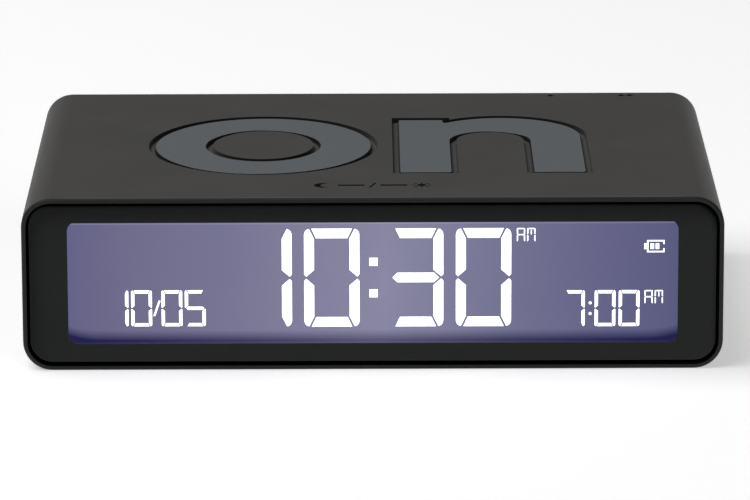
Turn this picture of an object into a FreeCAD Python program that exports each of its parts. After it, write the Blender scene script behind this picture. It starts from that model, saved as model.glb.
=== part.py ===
"""Flip-over desk alarm clock, in millimetres.

X runs along the width, -Y is the side with the display, +Z is up.
The origin is the centre of the underside.
"""
import FreeCAD, Part
import math
import os

Vector = FreeCAD.Vector
os.makedirs("parts", exist_ok=True)

# Sleeve
width = 105.0
height = 26.5
edge_radius = 4.4
wall = 2.0
end_round = 0.45
front_rim = 0.75
rear_rim = 1.0
rear_recess = 0.6

# Lens, mask and window
lens_gap = 0.3
lens_recess = 0.15
lens_thick = 1.0
mask_thick = 0.2
side_border = 6.8
top_border = 3.8
window_radius = 1.5

# Display, from the front to the back
frame_lip = 1.0
frame_flange = 1.5
frame_wall = 0.7
frame_side_wall = 0.9
frame_gap = 0.25
film_thick = 0.2
film_overlap = 0.5
glass_thick = 0.7
glass_ledge = 2.0
glass_fit = 0.15
diffuser_thick = 0.3
light_box_depth = 4.5
light_box_wall = 0.8
light_box_inset = 0.8
lamp_pitch = 18.0
lamp_count = 3
lamp_width = 3.5
lamp_height = 2.8
lamp_depth = 1.9
lamp_fit = 0.3
strip_width = 1.5
strip_gap = 0.3
strip_end_gap = 0.4

# Main board and what is soldered to it
component_room = 8.7
board_thick = 1.2
board_fit = 0.15
hook_width = 6.0
hook_reach = 2.1
hook_pitch = 44.0
hook_nib = 0.5
chip_diameter = 9.0
chip_height = 1.6
chip_x = 12.0
crystal_diameter = 3.0
crystal_length = 8.0
crystal_bevel = 0.4
crystal_x = 20.0
capacitor_diameter = 5.0
capacitor_height = 7.0
capacitor_groove = 0.6
capacitor_inset = 6.6
resistor_count = 6
resistor_x = 20.0
resistor_pitch = 2.6
resistor_length = 1.6
resistor_width = 0.8
resistor_height = 0.5
socket_width = 10.0
socket_height = 2.4
socket_depth = 3.4

# Tilt switch, a ball in a can
ball_diameter = 3.0
ball_travel = 2.5
ball_fit = 0.25
can_wall = 0.35
can_base_thick = 1.2
tilt_x = -4.0

# Touch pads under the label, and their contact leaves
pad_length = 16.0
pad_depth = 9.0
pad_thick = 0.1
leaf_width = 2.4
leaf_thick = 0.25
leaf_drop = 7.2

# Posts and panel screws
post_side_inset = 2.9
post_top_inset = 3.25
post_diameter = 4.6
post_end_gap = 0.15
screw_diameter = 2.0
screw_length = 8.0
screw_head_diameter = 3.8
screw_head_height = 1.3
screw_head_bevel = 0.4
screw_seat_depth = 1.0
screw_fit = 0.2
slot_width = 0.6
slot_length = 2.5
slot_depth = 0.5

# Letters inlaid in the top and the underside
letter_depth = 0.8
letter_recess = 0.1
letter_gap = 1.05
letter_bevel = 0.08
letter_corner = 0.4
baseline_y = 16.7
x_height = 35.8
stroke = 7.9
overshoot = 0.7
o_width = 33.4
o_hole_width = 17.7
o_hole_height = 20.6
o_centre_x = -16.85
arch_left = 4.2
arch_width = 28.3
arch_notch = 7.0
arch_drop = 1.3
arch_thin = 9.1
off_shift = -9.0
f_first_left = 7.2
f_pitch = 21.5
f_neck = 2.4
f_hook_radius = 9.6
f_bar_width = 18.6
f_bar_thick = 6.2

# Rear panel and battery compartment
panel_thick = 2.0
panel_gap = 0.2
cell_diameter = 10.5
cell_length = 44.5
cell_nub_diameter = 3.8
cell_nub_length = 0.9
cell_bevel = 0.4
cell_spacing = 0.5
cell_fit = 0.3
cell_end_gap = 0.15
compartment_inset = 24.5
compartment_wall = 1.2
contact_room = 2.6
contact_thick = 0.4
ridge_width = 5.5
ridge_inset = 2.6

# Battery door
door_thick = 1.55
door_fit = 0.15
door_seat_gap = 0.05
barrel_radius = 1.1
barrel_gap = 0.25
hinge_pin_diameter = 1.2
hinge_pin_length = 1.4
hinge_pin_fit = 0.05
hinge_block = 1.7
thumb_width = 7.0
thumb_depth = 0.7
grip_count = 3
grip_width = 0.6
grip_pitch = 1.3
grip_length = 7.0
tongue_width = 8.0
tongue_thick = 0.9
tongue_reach = 3.0
bridge_thick = 0.35
dimple_radius = 1.8
dimple_height = 0.4

# Minus spring, a cone of round wire
spring_wire = 0.5
spring_large_radius = 4.4
spring_small_radius = 1.8
spring_turns = 3

# Buzzer
buzzer_x = 0.0
buzzer_disc_diameter = 15.0
buzzer_disc_thick = 0.3
ceramic_diameter = 10.0
ceramic_thick = 0.25
buzzer_wall = 1.1
buzzer_step = 1.2
buzzer_fit = 0.15
sound_hole_diameter = 1.4
sound_ring_radius = 3.4
sound_ring_count = 6
sound_dish_margin = 1.7
sound_dish_depth = 0.25

# Set keys, their switches and key board
key_inset = 11.65
key_pitch = 12.1
key_row_offset = 4.9
key_width = 7.2
key_height = 5.0
key_corner = 2.3
key_fit = 0.2
key_proud = 0.4
key_round = 0.3
key_flange = 0.6
key_flange_thick = 0.8
key_flange_gap = 0.15
key_travel = 0.25
switch_side = 6.0
switch_height = 3.1
plunger_diameter = 3.4
plunger_length = 1.2
plunger_fit = 0.08
plunger_gap = 0.05
key_board_margin = 0.55
key_board_end = 2.4
key_boss_diameter = 4.0
key_boss_offset = 7.6
key_screw_length = 5.0

# Wires and ribbon
wire_diameter = 1.0
lead_diameter = 0.8
lead_run = 10.0
ribbon_width = 8.0
ribbon_thick = 0.3
ribbon_drop = 3.0

# The depth is what the display, the main board, the cells and the door need
display_stack = (lens_recess + lens_thick + mask_thick + frame_lip + 2 * glass_thick
                 + film_thick + diffuser_thick + light_box_depth + board_thick)
battery_stack = (compartment_wall + contact_room + cell_length + cell_end_gap
                 + dimple_height + bridge_thick + door_thick + rear_recess)
depth = display_stack + component_room + battery_stack

# Places worked out from the sizes above
middle = height / 2
front = -depth / 2
rear = depth / 2
half_inside = width / 2 - wall
half_inside_height = height / 2 - wall
inside_radius = edge_radius - wall
lens_front = front + lens_recess
mask_front = lens_front + lens_thick
flange_front = mask_front + mask_thick
flange_back = flange_front + frame_flange
glass_front = flange_front + frame_lip
rear_glass_front = glass_front + glass_thick
rear_film_front = rear_glass_front + glass_thick
diffuser_front = rear_film_front + film_thick
light_box_front = diffuser_front + diffuser_thick
board_front = light_box_front + light_box_depth
board_back = board_front + board_thick
panel_back = rear - rear_recess
panel_front = panel_back - panel_thick
frame_half_width = half_inside - frame_gap
frame_half_height = half_inside_height - frame_gap
window_width = width - 2 * side_border
window_height = height - 2 * top_border
front_glass_width = 2 * (frame_half_width - frame_side_wall - glass_fit)
rear_glass_width = front_glass_width - 2 * glass_ledge
light_box_width = rear_glass_width - 2 * light_box_inset
post_x = half_inside - post_side_inset
post_z = half_inside_height - post_top_inset
strip_height = 2 * (post_z - post_diameter / 2 - strip_end_gap)
compartment_x = compartment_inset - width / 2
key_columns = (width / 2 - key_inset - key_pitch, width / 2 - key_inset)
glass_half_height = frame_half_height - frame_wall - glass_fit
film_half_width = window_width / 2 + film_overlap
film_half_height = window_height / 2 + film_overlap / 2
strip_x = rear_glass_width / 2 + glass_fit + strip_gap + strip_width / 2


def box(x0, x1, y0, y1, z0, z1):
    """A block between two corners."""
    return Part.makeBox(x1 - x0, y1 - y0, z1 - z0, Vector(x0, y0, z0))


def rounded_slab(half_width, half_height, radius, y0, y1, x=0.0, z=middle):
    """A rounded rectangle seen from the front, running from y0 to y1."""
    u = half_width
    v = half_height
    corners = ((u, -v, -90), (u, v, 0), (-u, v, 90), (-u, -v, 180))
    edges = []
    last = None
    first = None
    for corner_x, corner_z, start in corners:
        centre_x = corner_x - math.copysign(radius, corner_x)
        centre_z = corner_z - math.copysign(radius, corner_z)
        points = []
        for turn in (0, 45, 90):
            angle = math.radians(start + turn)
            points.append(Vector(x + centre_x + radius * math.cos(angle), y0,
                                 z + centre_z + radius * math.sin(angle)))
        if last is None:
            first = points[0]
        elif last.distanceToPoint(points[0]) > 1e-6:
            edges.append(Part.makeLine(last, points[0]))
        edges.append(Part.Arc(*points).toShape())
        last = points[2]
    if last.distanceToPoint(first) > 1e-6:
        edges.append(Part.makeLine(last, first))
    face = Part.Face(Part.Wire(edges))
    return face.extrude(Vector(0, y1 - y0, 0))


def along_y(radius, x, z, y0, y1):
    """A cylinder from y0 to y1."""
    return Part.makeCylinder(radius, y1 - y0, Vector(x, y0, z), Vector(0, 1, 0))


def along_z(radius, x, y, z0, z1):
    """An upright cylinder from z0 to z1."""
    return Part.makeCylinder(radius, z1 - z0, Vector(x, y, z0), Vector(0, 0, 1))


def edges_at_y(solid, y):
    """The edges that lie in the plane y."""
    return [edge for edge in solid.Edges
            if abs(edge.BoundBox.YMin - y) < 1e-6 and abs(edge.BoundBox.YMax - y) < 1e-6]


def edges_at_z(solid, z):
    """The edges that lie in the plane z."""
    return [edge for edge in solid.Edges
            if abs(edge.BoundBox.ZMin - z) < 1e-6 and abs(edge.BoundBox.ZMax - z) < 1e-6]


def flipped(solid):
    """The same solid with the clock turned over about its front-to-back axis."""
    turned = solid.copy()
    turned.rotate(Vector(0, 0, middle), Vector(0, 1, 0), 180)
    return turned


def bent_path(points):
    """Straight runs joined by tangent arcs, each as large as its two runs allow."""
    edges = []
    start = points[0]
    for before, corner, after in zip(points, points[1:], points[2:]):
        into = (before - corner).normalize()
        out = (after - corner).normalize()
        half_turn = (math.pi - into.getAngle(out)) / 2
        shorter = min(corner.distanceToPoint(before), corner.distanceToPoint(after))
        reach = 0.45 * shorter
        radius = reach / math.tan(half_turn)
        arc_start = corner + into * reach
        arc_end = corner + out * reach
        bisector = (into + out).normalize()
        to_centre = radius / math.cos(half_turn)
        arc_middle = corner + bisector * (to_centre - radius)
        edges.append(Part.makeLine(start, arc_start))
        edges.append(Part.Arc(arc_start, arc_middle, arc_end).toShape())
        start = arc_end
    edges.append(Part.makeLine(start, points[-1]))
    return Part.Wire(edges)


def tube(points, diameter):
    """A round wire along the points."""
    path = bent_path(points)
    direction = points[1] - points[0]
    circle = Part.Wire(Part.makeCircle(diameter / 2, points[0], direction))
    return path.makePipeShell([circle], True, False)


def save(name, solid):
    """Write one named piece."""
    if solid.isNull() or not solid.isValid():
        raise ValueError(name + " is not a valid solid")
    solid.exportStep("parts/" + name + ".step")
    print(name, len(solid.Solids), round(solid.Volume, 3))


def group(solids):
    """Several separate solids in one piece."""
    return Part.makeCompound(solids)


# Letters
def oval_face(centre_x, centre_y, half_x, half_y):
    """A flat oval of four arcs that meet smoothly at its diagonals."""
    shift = (half_y - half_x) / (2 - math.sqrt(2))
    side_radius = half_x + shift
    end_radius = half_y - shift
    arcs = ((-shift, 0, side_radius, 0), (0, shift, end_radius, 90),
            (shift, 0, side_radius, 180), (0, -shift, end_radius, 270))
    edges = []
    for arc_x, arc_y, radius, facing in arcs:
        points = []
        for turn in (-45, 0, 45):
            angle = math.radians(facing + turn)
            points.append(Vector(centre_x + arc_x + radius * math.cos(angle),
                                 centre_y + arc_y + radius * math.sin(angle), 0))
        edges.append(Part.Arc(*points).toShape())
    return Part.Face(Part.Wire(edges))


def letter_o(grow=0.0):
    """A wide ring. grow widens the stroke on both sides for the pocket round it."""
    centre_y = front + baseline_y + (x_height - overshoot) / 2
    o_height = x_height + overshoot
    outer = oval_face(o_centre_x, centre_y, o_width / 2 + grow, o_height / 2 + grow)
    inner = oval_face(o_centre_x, centre_y, o_hole_width / 2 - grow, o_hole_height / 2 - grow)
    return outer.cut(inner)


def letter_n(grow=0.0):
    """A stem, and an arch that comes out of it and runs down to the baseline."""
    foot = front + baseline_y - grow
    left = arch_left - grow
    right = arch_left + arch_width + grow
    stem_top = front + baseline_y + x_height - arch_drop + grow
    stem_side = arch_left + arch_notch + grow
    arch_radius = (arch_width - arch_notch / 2) / 2 + grow
    arch_x = right - arch_radius
    arch_y = front + baseline_y + x_height - arch_radius + grow
    inner_left = arch_left + stroke + grow
    inner_right = arch_left + arch_width - stroke - grow
    inner_radius = (inner_right - inner_left) / 2
    inner_x = (inner_left + inner_right) / 2
    inner_y = front + baseline_y + x_height - arch_thin - inner_radius - grow
    notch_drop = math.sqrt(arch_radius ** 2 - (arch_x - stem_side) ** 2)
    notch = Vector(stem_side, arch_y + notch_drop, 0)
    notch_angle = math.atan2(notch_drop, stem_side - arch_x)
    outer_middle = Vector(arch_x + arch_radius * math.cos(notch_angle / 2),
                          arch_y + arch_radius * math.sin(notch_angle / 2), 0)
    foot_left = Vector(left, foot, 0)
    corner = Vector(left, stem_top, 0)
    shoulder = Vector(stem_side, stem_top, 0)
    leg_top = Vector(right, arch_y, 0)
    leg_foot = Vector(right, foot, 0)
    leg_inner_foot = Vector(inner_right, foot, 0)
    leg_inner_top = Vector(inner_right, inner_y, 0)
    crown = Vector(inner_x, inner_y + inner_radius, 0)
    stem_inner_top = Vector(inner_left, inner_y, 0)
    stem_inner_foot = Vector(inner_left, foot, 0)
    edges = [
        Part.makeLine(foot_left, corner),
        Part.makeLine(corner, shoulder),
        Part.makeLine(shoulder, notch),
        Part.Arc(notch, outer_middle, leg_top).toShape(),
        Part.makeLine(leg_top, leg_foot),
        Part.makeLine(leg_foot, leg_inner_foot),
        Part.makeLine(leg_inner_foot, leg_inner_top),
        Part.Arc(leg_inner_top, crown, stem_inner_top).toShape(),
        Part.makeLine(stem_inner_top, stem_inner_foot),
        Part.makeLine(stem_inner_foot, foot_left),
    ]
    return Part.Face(Part.Wire(edges))


def letter_f(left, grow=0.0):
    """A stem with a quarter-round hook at its top and a bar across it."""
    foot = front + baseline_y - grow
    bar_top = front + baseline_y + x_height - arch_drop + grow
    bar_foot = bar_top - f_bar_thick - 2 * grow
    bar_left = left - grow
    bar_right = left + f_bar_width + grow
    stem_left = left + (f_bar_width - stroke) / 3 - grow
    stem_right = stem_left + stroke + 2 * grow
    outer_radius = f_hook_radius + grow
    inner_radius = outer_radius - stroke - 2 * grow
    hook_x = stem_left + outer_radius
    hook_y = front + baseline_y + x_height - arch_drop + f_neck
    hook_top = hook_y + outer_radius
    hook_foot = hook_y + inner_radius
    hook_end = bar_right
    half = math.sqrt(0.5)
    outer_middle = Vector(hook_x - outer_radius * half, hook_y + outer_radius * half, 0)
    inner_middle = Vector(hook_x - inner_radius * half, hook_y + inner_radius * half, 0)
    stem_points = [
        Vector(stem_left, bar_foot, 0),
        Vector(bar_left, bar_foot, 0),
        Vector(bar_left, bar_top, 0),
        Vector(stem_left, bar_top, 0),
        Vector(stem_left, hook_y, 0),
    ]
    end_points = [
        Vector(hook_x, hook_top, 0),
        Vector(hook_end, hook_top, 0),
        Vector(hook_end, hook_foot, 0),
        Vector(hook_x, hook_foot, 0),
    ]
    back_points = [
        Vector(stem_right, hook_y, 0),
        Vector(stem_right, bar_top, 0),
        Vector(bar_right, bar_top, 0),
        Vector(bar_right, bar_foot, 0),
        Vector(stem_right, bar_foot, 0),
        Vector(stem_right, foot, 0),
        Vector(stem_left, foot, 0),
        Vector(stem_left, bar_foot, 0),
    ]
    edges = [Part.makeLine(a, b) for a, b in zip(stem_points, stem_points[1:])]
    edges.append(Part.Arc(stem_points[-1], outer_middle, end_points[0]).toShape())
    edges += [Part.makeLine(a, b) for a, b in zip(end_points, end_points[1:])]
    edges.append(Part.Arc(end_points[-1], inner_middle, back_points[0]).toShape())
    edges += [Part.makeLine(a, b) for a, b in zip(back_points, back_points[1:])]
    return Part.Face(Part.Wire(edges))


def shifted(face, distance):
    """The face moved along the width."""
    moved = face.copy()
    moved.translate(Vector(distance, 0, 0))
    return moved


def inlay(face):
    """A letter plate that stands in its pocket, with rounded corners and a small bevel round its top."""
    plate = face.copy()
    plate.translate(Vector(0, 0, height - letter_depth))
    plate = plate.extrude(Vector(0, 0, letter_depth - letter_recess))
    corners = [edge for edge in plate.Edges
               if edge.BoundBox.XLength < 1e-6 and edge.BoundBox.YLength < 1e-6]
    if len(face.Wires) == 1:
        plate = plate.makeFillet(letter_corner, corners)
    return plate.makeChamfer(letter_bevel, edges_at_z(plate, height - letter_recess))


def pocket(face):
    """The space cut for a letter, open at the top."""
    hollow = face.copy()
    hollow.translate(Vector(0, 0, height - letter_depth))
    return hollow.extrude(Vector(0, 0, 2 * letter_depth))


top_letters = {"inlay_on_o": letter_o, "inlay_on_n": letter_n}


def off_o(grow=0.0):
    """The round letter of the word on the underside."""
    return shifted(letter_o(grow), off_shift)


def off_f_first(grow=0.0):
    """The first of two like letters of the word on the underside."""
    return letter_f(f_first_left + off_shift, grow)


def off_f_second(grow=0.0):
    """The second of the two."""
    return letter_f(f_first_left + off_shift + f_pitch, grow)


underside_letters = {"inlay_off_o": off_o, "inlay_off_f1": off_f_first, "inlay_off_f2": off_f_second}


# Outer pieces
def sleeve():
    """One rounded tube with a stepped mouth at each end and a pocket for each letter."""
    body = rounded_slab(width / 2, height / 2, edge_radius, front, rear)
    body = body.makeFillet(end_round, edges_at_y(body, front))
    body = body.makeFillet(end_round, edges_at_y(body, rear))
    body = body.cut(rounded_slab(half_inside, half_inside_height, inside_radius, front, rear))
    mouth = rounded_slab(width / 2 - front_rim, height / 2 - front_rim, edge_radius - front_rim,
                         front, flange_back)
    back_mouth = rounded_slab(width / 2 - rear_rim, height / 2 - rear_rim, edge_radius - rear_rim,
                              panel_front, rear)
    body = body.cut(mouth).cut(back_mouth)
    for make_letter in top_letters.values():
        body = body.cut(pocket(make_letter(letter_gap)))
    for make_letter in underside_letters.values():
        body = body.cut(flipped(pocket(make_letter(letter_gap))))
    return body


def front_plate(y0, y1):
    """The outline that the lens, its mask and the display frame's flange share."""
    inset = front_rim + lens_gap
    return rounded_slab(width / 2 - inset, height / 2 - inset, edge_radius - inset, y0, y1)


def lens_mask():
    """A black film behind the lens with the display's window in it."""
    window = rounded_slab(window_width / 2, window_height / 2, window_radius, mask_front, flange_front)
    return front_plate(mask_front, flange_front).cut(window)


def display_frame():
    """A ring that holds the glass and light box, with hooks for the board and four long posts."""
    ring = rounded_slab(frame_half_width, frame_half_height, inside_radius - frame_gap,
                        flange_front, board_front)
    ring = ring.fuse(front_plate(flange_front, flange_back))
    pocket_half_width = front_glass_width / 2 + glass_fit
    pocket_half_height = glass_half_height + glass_fit
    ring = ring.cut(box(-pocket_half_width, pocket_half_width, glass_front, board_front,
                        middle - pocket_half_height, middle + pocket_half_height))
    ring = ring.cut(rounded_slab(film_half_width + glass_fit, film_half_height + glass_fit,
                                 window_radius, flange_front, glass_front))
    outline = rounded_slab(frame_half_width, frame_half_height, inside_radius - frame_gap,
                           rear_glass_front + glass_fit, board_front)
    block_inner = light_box_width / 2 + glass_fit
    corner_blocks = box(block_inner, width / 2, rear_film_front, board_front,
                        middle + strip_height / 2 + glass_fit, height)
    blocks = [corner_blocks, corner_blocks.mirror(Vector(0, 0, middle), Vector(0, 0, 1))]
    blocks += [block.mirror(Vector(0, 0, 0), Vector(1, 0, 0)) for block in blocks]
    for block in blocks:
        ring = ring.fuse(block.common(outline))
    for x in (-hook_pitch / 2, 0, hook_pitch / 2):
        for side in (-1, 1):
            ring = ring.fuse(snap_hook(x, side))
    for x in (-post_x, post_x):
        for z in (middle - post_z, middle + post_z):
            post = along_y(post_diameter / 2, x, z, board_front, panel_front - post_end_gap)
            bore = along_y(screw_diameter / 2, x, z,
                           panel_front - post_end_gap - screw_length, panel_front)
            ring = ring.fuse(post).cut(bore)
    return ring.removeSplitter()


def snap_hook(x, side):
    """A hook on the frame that holds the main board's edge."""
    outer = frame_half_height
    inner = outer - frame_wall
    tip = board_back + hook_reach
    catch = board_back + glass_fit
    profile = [
        Vector(x - hook_width / 2, board_front, middle + side * outer),
        Vector(x - hook_width / 2, tip, middle + side * outer),
        Vector(x - hook_width / 2, tip, middle + side * inner),
        Vector(x - hook_width / 2, catch + hook_nib, middle + side * (inner - hook_nib)),
        Vector(x - hook_width / 2, catch, middle + side * (inner - hook_nib)),
        Vector(x - hook_width / 2, catch, middle + side * inner),
        Vector(x - hook_width / 2, board_front, middle + side * inner),
    ]
    face = Part.Face(Part.makePolygon(profile + profile[:1]))
    return face.extrude(Vector(hook_width, 0, 0))


# Display
def film(y):
    """A thin sheet that covers the window with a little to spare."""
    return rounded_slab(film_half_width, film_half_height, window_radius, y, y + film_thick)


def glass(glass_width, y):
    """A plate of the display's glass."""
    return box(-glass_width / 2, glass_width / 2, y, y + glass_thick,
               middle - glass_half_height, middle + glass_half_height)


def lamp_places():
    """The x of each backlight lamp."""
    return [(number - (lamp_count - 1) / 2) * lamp_pitch for number in range(lamp_count)]


def light_box():
    """A white tray, open towards the display, with a hole for each lamp."""
    outer = rounded_slab(light_box_width / 2, film_half_height, window_radius,
                         light_box_front, board_front)
    tray = outer.cut(rounded_slab(light_box_width / 2 - light_box_wall,
                                  film_half_height - light_box_wall,
                                  window_radius - light_box_wall,
                                  light_box_front, board_front - light_box_wall))
    for x in lamp_places():
        tray = tray.cut(box(x - lamp_width / 2 - lamp_fit, x + lamp_width / 2 + lamp_fit,
                            light_box_front, board_front,
                            middle - lamp_height / 2 - lamp_fit, middle + lamp_height / 2 + lamp_fit))
    return tray


def backlight_lamps():
    """Small lamps on the front of the main board, each with a round face."""
    lamps = []
    for x in lamp_places():
        case = box(x - lamp_width / 2, x + lamp_width / 2, board_front - lamp_depth / 2, board_front,
                   middle - lamp_height / 2, middle + lamp_height / 2)
        dome = along_y(lamp_height / 2 - lamp_fit, x, middle, board_front - lamp_depth, board_front)
        lamps.append(case.fuse(dome).removeSplitter())
    return group(lamps)


def contact_strips():
    """Elastomer strips between the front glass's side ledges and the main board."""
    strips = []
    for x in (-strip_x, strip_x):
        strips.append(box(x - strip_width / 2, x + strip_width / 2, rear_glass_front, board_front,
                          middle - strip_height / 2, middle + strip_height / 2))
    return group(strips)


# Main board
board_half_width = front_glass_width / 2 + glass_fit - board_fit
board_half_height = frame_half_height - frame_wall - board_fit


def main_board():
    """The board behind the light box, with its corners cut away for the posts."""
    board = box(-board_half_width, board_half_width, board_front, board_back,
                middle - board_half_height, middle + board_half_height)
    notch_x = post_x - post_diameter / 2 - board_fit
    notch_z = post_z - post_diameter / 2 - board_fit
    for sign_x in (-1, 1):
        for sign_z in (-1, 1):
            corner = box(notch_x, width / 2, board_front, board_back, notch_z, height)
            corner = corner.mirror(Vector(0, 0, 0), Vector(1, 0, 0)) if sign_x < 0 else corner
            corner = corner.mirror(Vector(0, 0, 0), Vector(0, 0, 1)) if sign_z < 0 else corner
            corner.translate(Vector(0, 0, middle))
            board = board.cut(corner)
    return board


def clock_chip():
    """A low dome of black resin over the chip."""
    dome_radius = (chip_diameter ** 2 / 4 + chip_height ** 2) / (2 * chip_height)
    ball = Part.makeSphere(dome_radius, Vector(chip_x, board_back + chip_height - dome_radius, middle))
    return ball.common(along_y(chip_diameter, chip_x, middle, board_back, board_back + 2 * chip_height))


def crystal():
    """A small can that lies along the board."""
    radius = crystal_diameter / 2
    z = middle - half_inside_height / 2
    can = Part.makeCylinder(radius, crystal_length, Vector(crystal_x, board_back + radius, z),
                            Vector(1, 0, 0))
    ends = [edge for edge in can.Edges if edge.Closed]
    return can.makeChamfer(crystal_bevel, ends)


def capacitor():
    """An upright can with a groove near its foot."""
    radius = capacitor_diameter / 2
    x = board_half_width - capacitor_inset
    groove_front = board_back + capacitor_groove
    groove_back = board_back + 2 * capacitor_groove
    can = along_y(radius, x, middle, board_back, board_back + capacitor_height)
    neck = along_y(radius - capacitor_groove / 2, x, middle, groove_front, groove_back)
    groove = along_y(radius, x, middle, groove_front, groove_back).cut(neck)
    return can.cut(groove)


def chip_resistors():
    """A row of small resistors on the back of the main board."""
    solids = []
    z = middle + half_inside_height / 2
    for number in range(resistor_count):
        x = resistor_x + (number - (resistor_count - 1) / 2) * resistor_pitch
        solids.append(box(x - resistor_width / 2, x + resistor_width / 2,
                          board_back, board_back + resistor_height,
                          z - resistor_length / 2, z + resistor_length / 2))
    return group(solids)


# Tilt switch
can_radius = ball_diameter / 2 + ball_fit + can_wall
can_inside = ball_diameter + ball_travel + 2 * ball_fit
can_low = middle - (can_inside + can_wall) / 2
tilt_y = board_back + can_radius


def tilt_base():
    """The switch's black base with its two legs bent to the board."""
    base = along_z(can_radius, tilt_x, tilt_y, can_low - can_base_thick, can_low)
    leg_radius = can_wall / 2
    leg_foot = can_low - can_base_thick - 2 * can_wall
    legs = []
    for side in (-1, 1):
        x = tilt_x + side * can_radius / 2
        upright = along_z(leg_radius, x, tilt_y, leg_foot, can_low - can_base_thick)
        foot = along_y(leg_radius, x, leg_foot, board_back, tilt_y)
        legs.append(upright.fuse(foot).fuse(Part.makeSphere(leg_radius, Vector(x, tilt_y, leg_foot))))
    for leg in legs:
        base = base.fuse(leg)
    return base.removeSplitter()


def tilt_can():
    """A thin can, closed at the top, that the ball rolls in."""
    outer = along_z(can_radius, tilt_x, tilt_y, can_low, can_low + can_inside + can_wall)
    return outer.cut(along_z(can_radius - can_wall, tilt_x, tilt_y, can_low, can_low + can_inside))


def tilt_ball():
    """The ball at the low end of its can."""
    return Part.makeSphere(ball_diameter / 2,
                           Vector(tilt_x, tilt_y, can_low + ball_fit + ball_diameter / 2))


# Touch pads
pad_front = board_front - frame_wall


def touch_pad():
    """A foil pad bonded under the top wall, above the snap hooks."""
    top = middle + half_inside_height
    return box(-pad_length / 2, pad_length / 2, pad_front, pad_front + pad_depth, top - pad_thick, top)


def touch_leaf():
    """A bent strip from the main board up to the pad, with its end turned down."""
    x = hook_width / 2 + leaf_width
    top = middle + half_inside_height - pad_thick
    foot = middle + half_inside_height - leaf_drop
    knee = foot + leaf_width
    crest = pad_front + pad_depth - leaf_width
    end = crest + leaf_width
    end_z = top - leaf_width / 2
    outline = [
        Vector(x, board_back, foot),
        Vector(x, board_back, knee),
        Vector(x, crest, top),
        Vector(x, end, end_z),
        Vector(x, end, end_z - leaf_thick),
        Vector(x, crest, top - 2 * leaf_thick),
        Vector(x, board_back + 1.5 * leaf_thick, knee - leaf_thick),
        Vector(x, board_back + 1.5 * leaf_thick, foot),
    ]
    face = Part.Face(Part.makePolygon(outline + outline[:1]))
    return face.extrude(Vector(leaf_width, 0, 0))


# Battery compartment
cell_pitch = cell_diameter + cell_spacing
room_half_width = (2 * cell_diameter + cell_spacing) / 2 + cell_fit
room_half_height = cell_diameter / 2 + cell_fit
box_half_width = room_half_width + compartment_wall
box_half_height = room_half_height + compartment_wall
seat_y = panel_back - door_thick - door_seat_gap
door_inner = panel_back - door_thick
bridge_front = door_inner - bridge_thick
cell_rear = bridge_front - dimple_height - cell_end_gap
cell_front = cell_rear - cell_length
room_front = cell_front - contact_room
hinge_x = compartment_x - box_half_width - barrel_gap - barrel_radius
hinge_y = panel_back - barrel_radius
door_half_height = box_half_height - door_fit
latch_edge = compartment_x + box_half_width
door_end = latch_edge - door_fit
cell_places = (compartment_x - cell_pitch / 2, compartment_x + cell_pitch / 2)


def aaa_cell(x, nub_towards_rear):
    """A cell with its raised plus nub at one end and a flat recess ring at the other."""
    body_rear = cell_rear - cell_nub_length if nub_towards_rear else cell_rear
    body_front = cell_front if nub_towards_rear else cell_front + cell_nub_length
    body = along_y(cell_diameter / 2, x, middle, body_front, body_rear)
    for end in (body_front, body_rear):
        body = body.makeChamfer(cell_bevel, edges_at_y(body, end))
    if nub_towards_rear:
        nub = along_y(cell_nub_diameter / 2, x, middle, body_rear, cell_rear)
    else:
        nub = along_y(cell_nub_diameter / 2, x, middle, cell_front, body_front)
    return body.fuse(nub)


def rear_panel():
    """The moulded panel with battery compartment, hinge bores, buzzer ring, key wells and bosses."""
    inset = rear_rim + panel_gap
    panel = rounded_slab(width / 2 - inset, height / 2 - inset, edge_radius - inset,
                         panel_front, panel_back)
    compartment = rounded_slab(box_half_width, box_half_height, compartment_wall,
                               room_front - compartment_wall, panel_front, compartment_x)
    panel = panel.fuse(compartment)
    for side in (-1, 1):
        block_low = middle + side * box_half_height
        block_high = block_low + side * (hinge_pin_length + 2 * hinge_pin_fit + door_fit)
        panel = panel.fuse(box(hinge_x - hinge_block, hinge_x + barrel_radius + barrel_gap,
                               hinge_y - hinge_block, panel_front,
                               min(block_low, block_high), max(block_low, block_high)))
    room = rounded_slab(room_half_width, room_half_height, compartment_wall / 2,
                        room_front, panel_back, compartment_x)
    rebate = box(hinge_x - barrel_radius - barrel_gap, latch_edge, seat_y, rear,
                 middle - box_half_height, middle + box_half_height)
    barrel_space = box(hinge_x - barrel_radius - barrel_gap, hinge_x + barrel_radius + barrel_gap,
                       hinge_y - barrel_radius - barrel_gap, rear,
                       middle - box_half_height, middle + box_half_height)
    panel = panel.cut(room).cut(rebate).cut(barrel_space)
    pin_half_length = box_half_height + hinge_pin_length
    panel = panel.cut(along_z(hinge_pin_diameter / 2 + hinge_pin_fit, hinge_x, hinge_y,
                              middle - pin_half_length, middle + pin_half_length))
    tongue_notch = box(latch_edge - compartment_wall, latch_edge, seat_y - 2 * tongue_reach, seat_y,
                       middle - tongue_width / 2 - 2 * door_fit, middle + tongue_width / 2 + 2 * door_fit)
    panel = panel.cut(tongue_notch)
    panel = panel.cut(front_contact_slots())
    for ridge in cell_ridges():
        panel = panel.fuse(ridge)
    return add_panel_fittings(panel)


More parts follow.
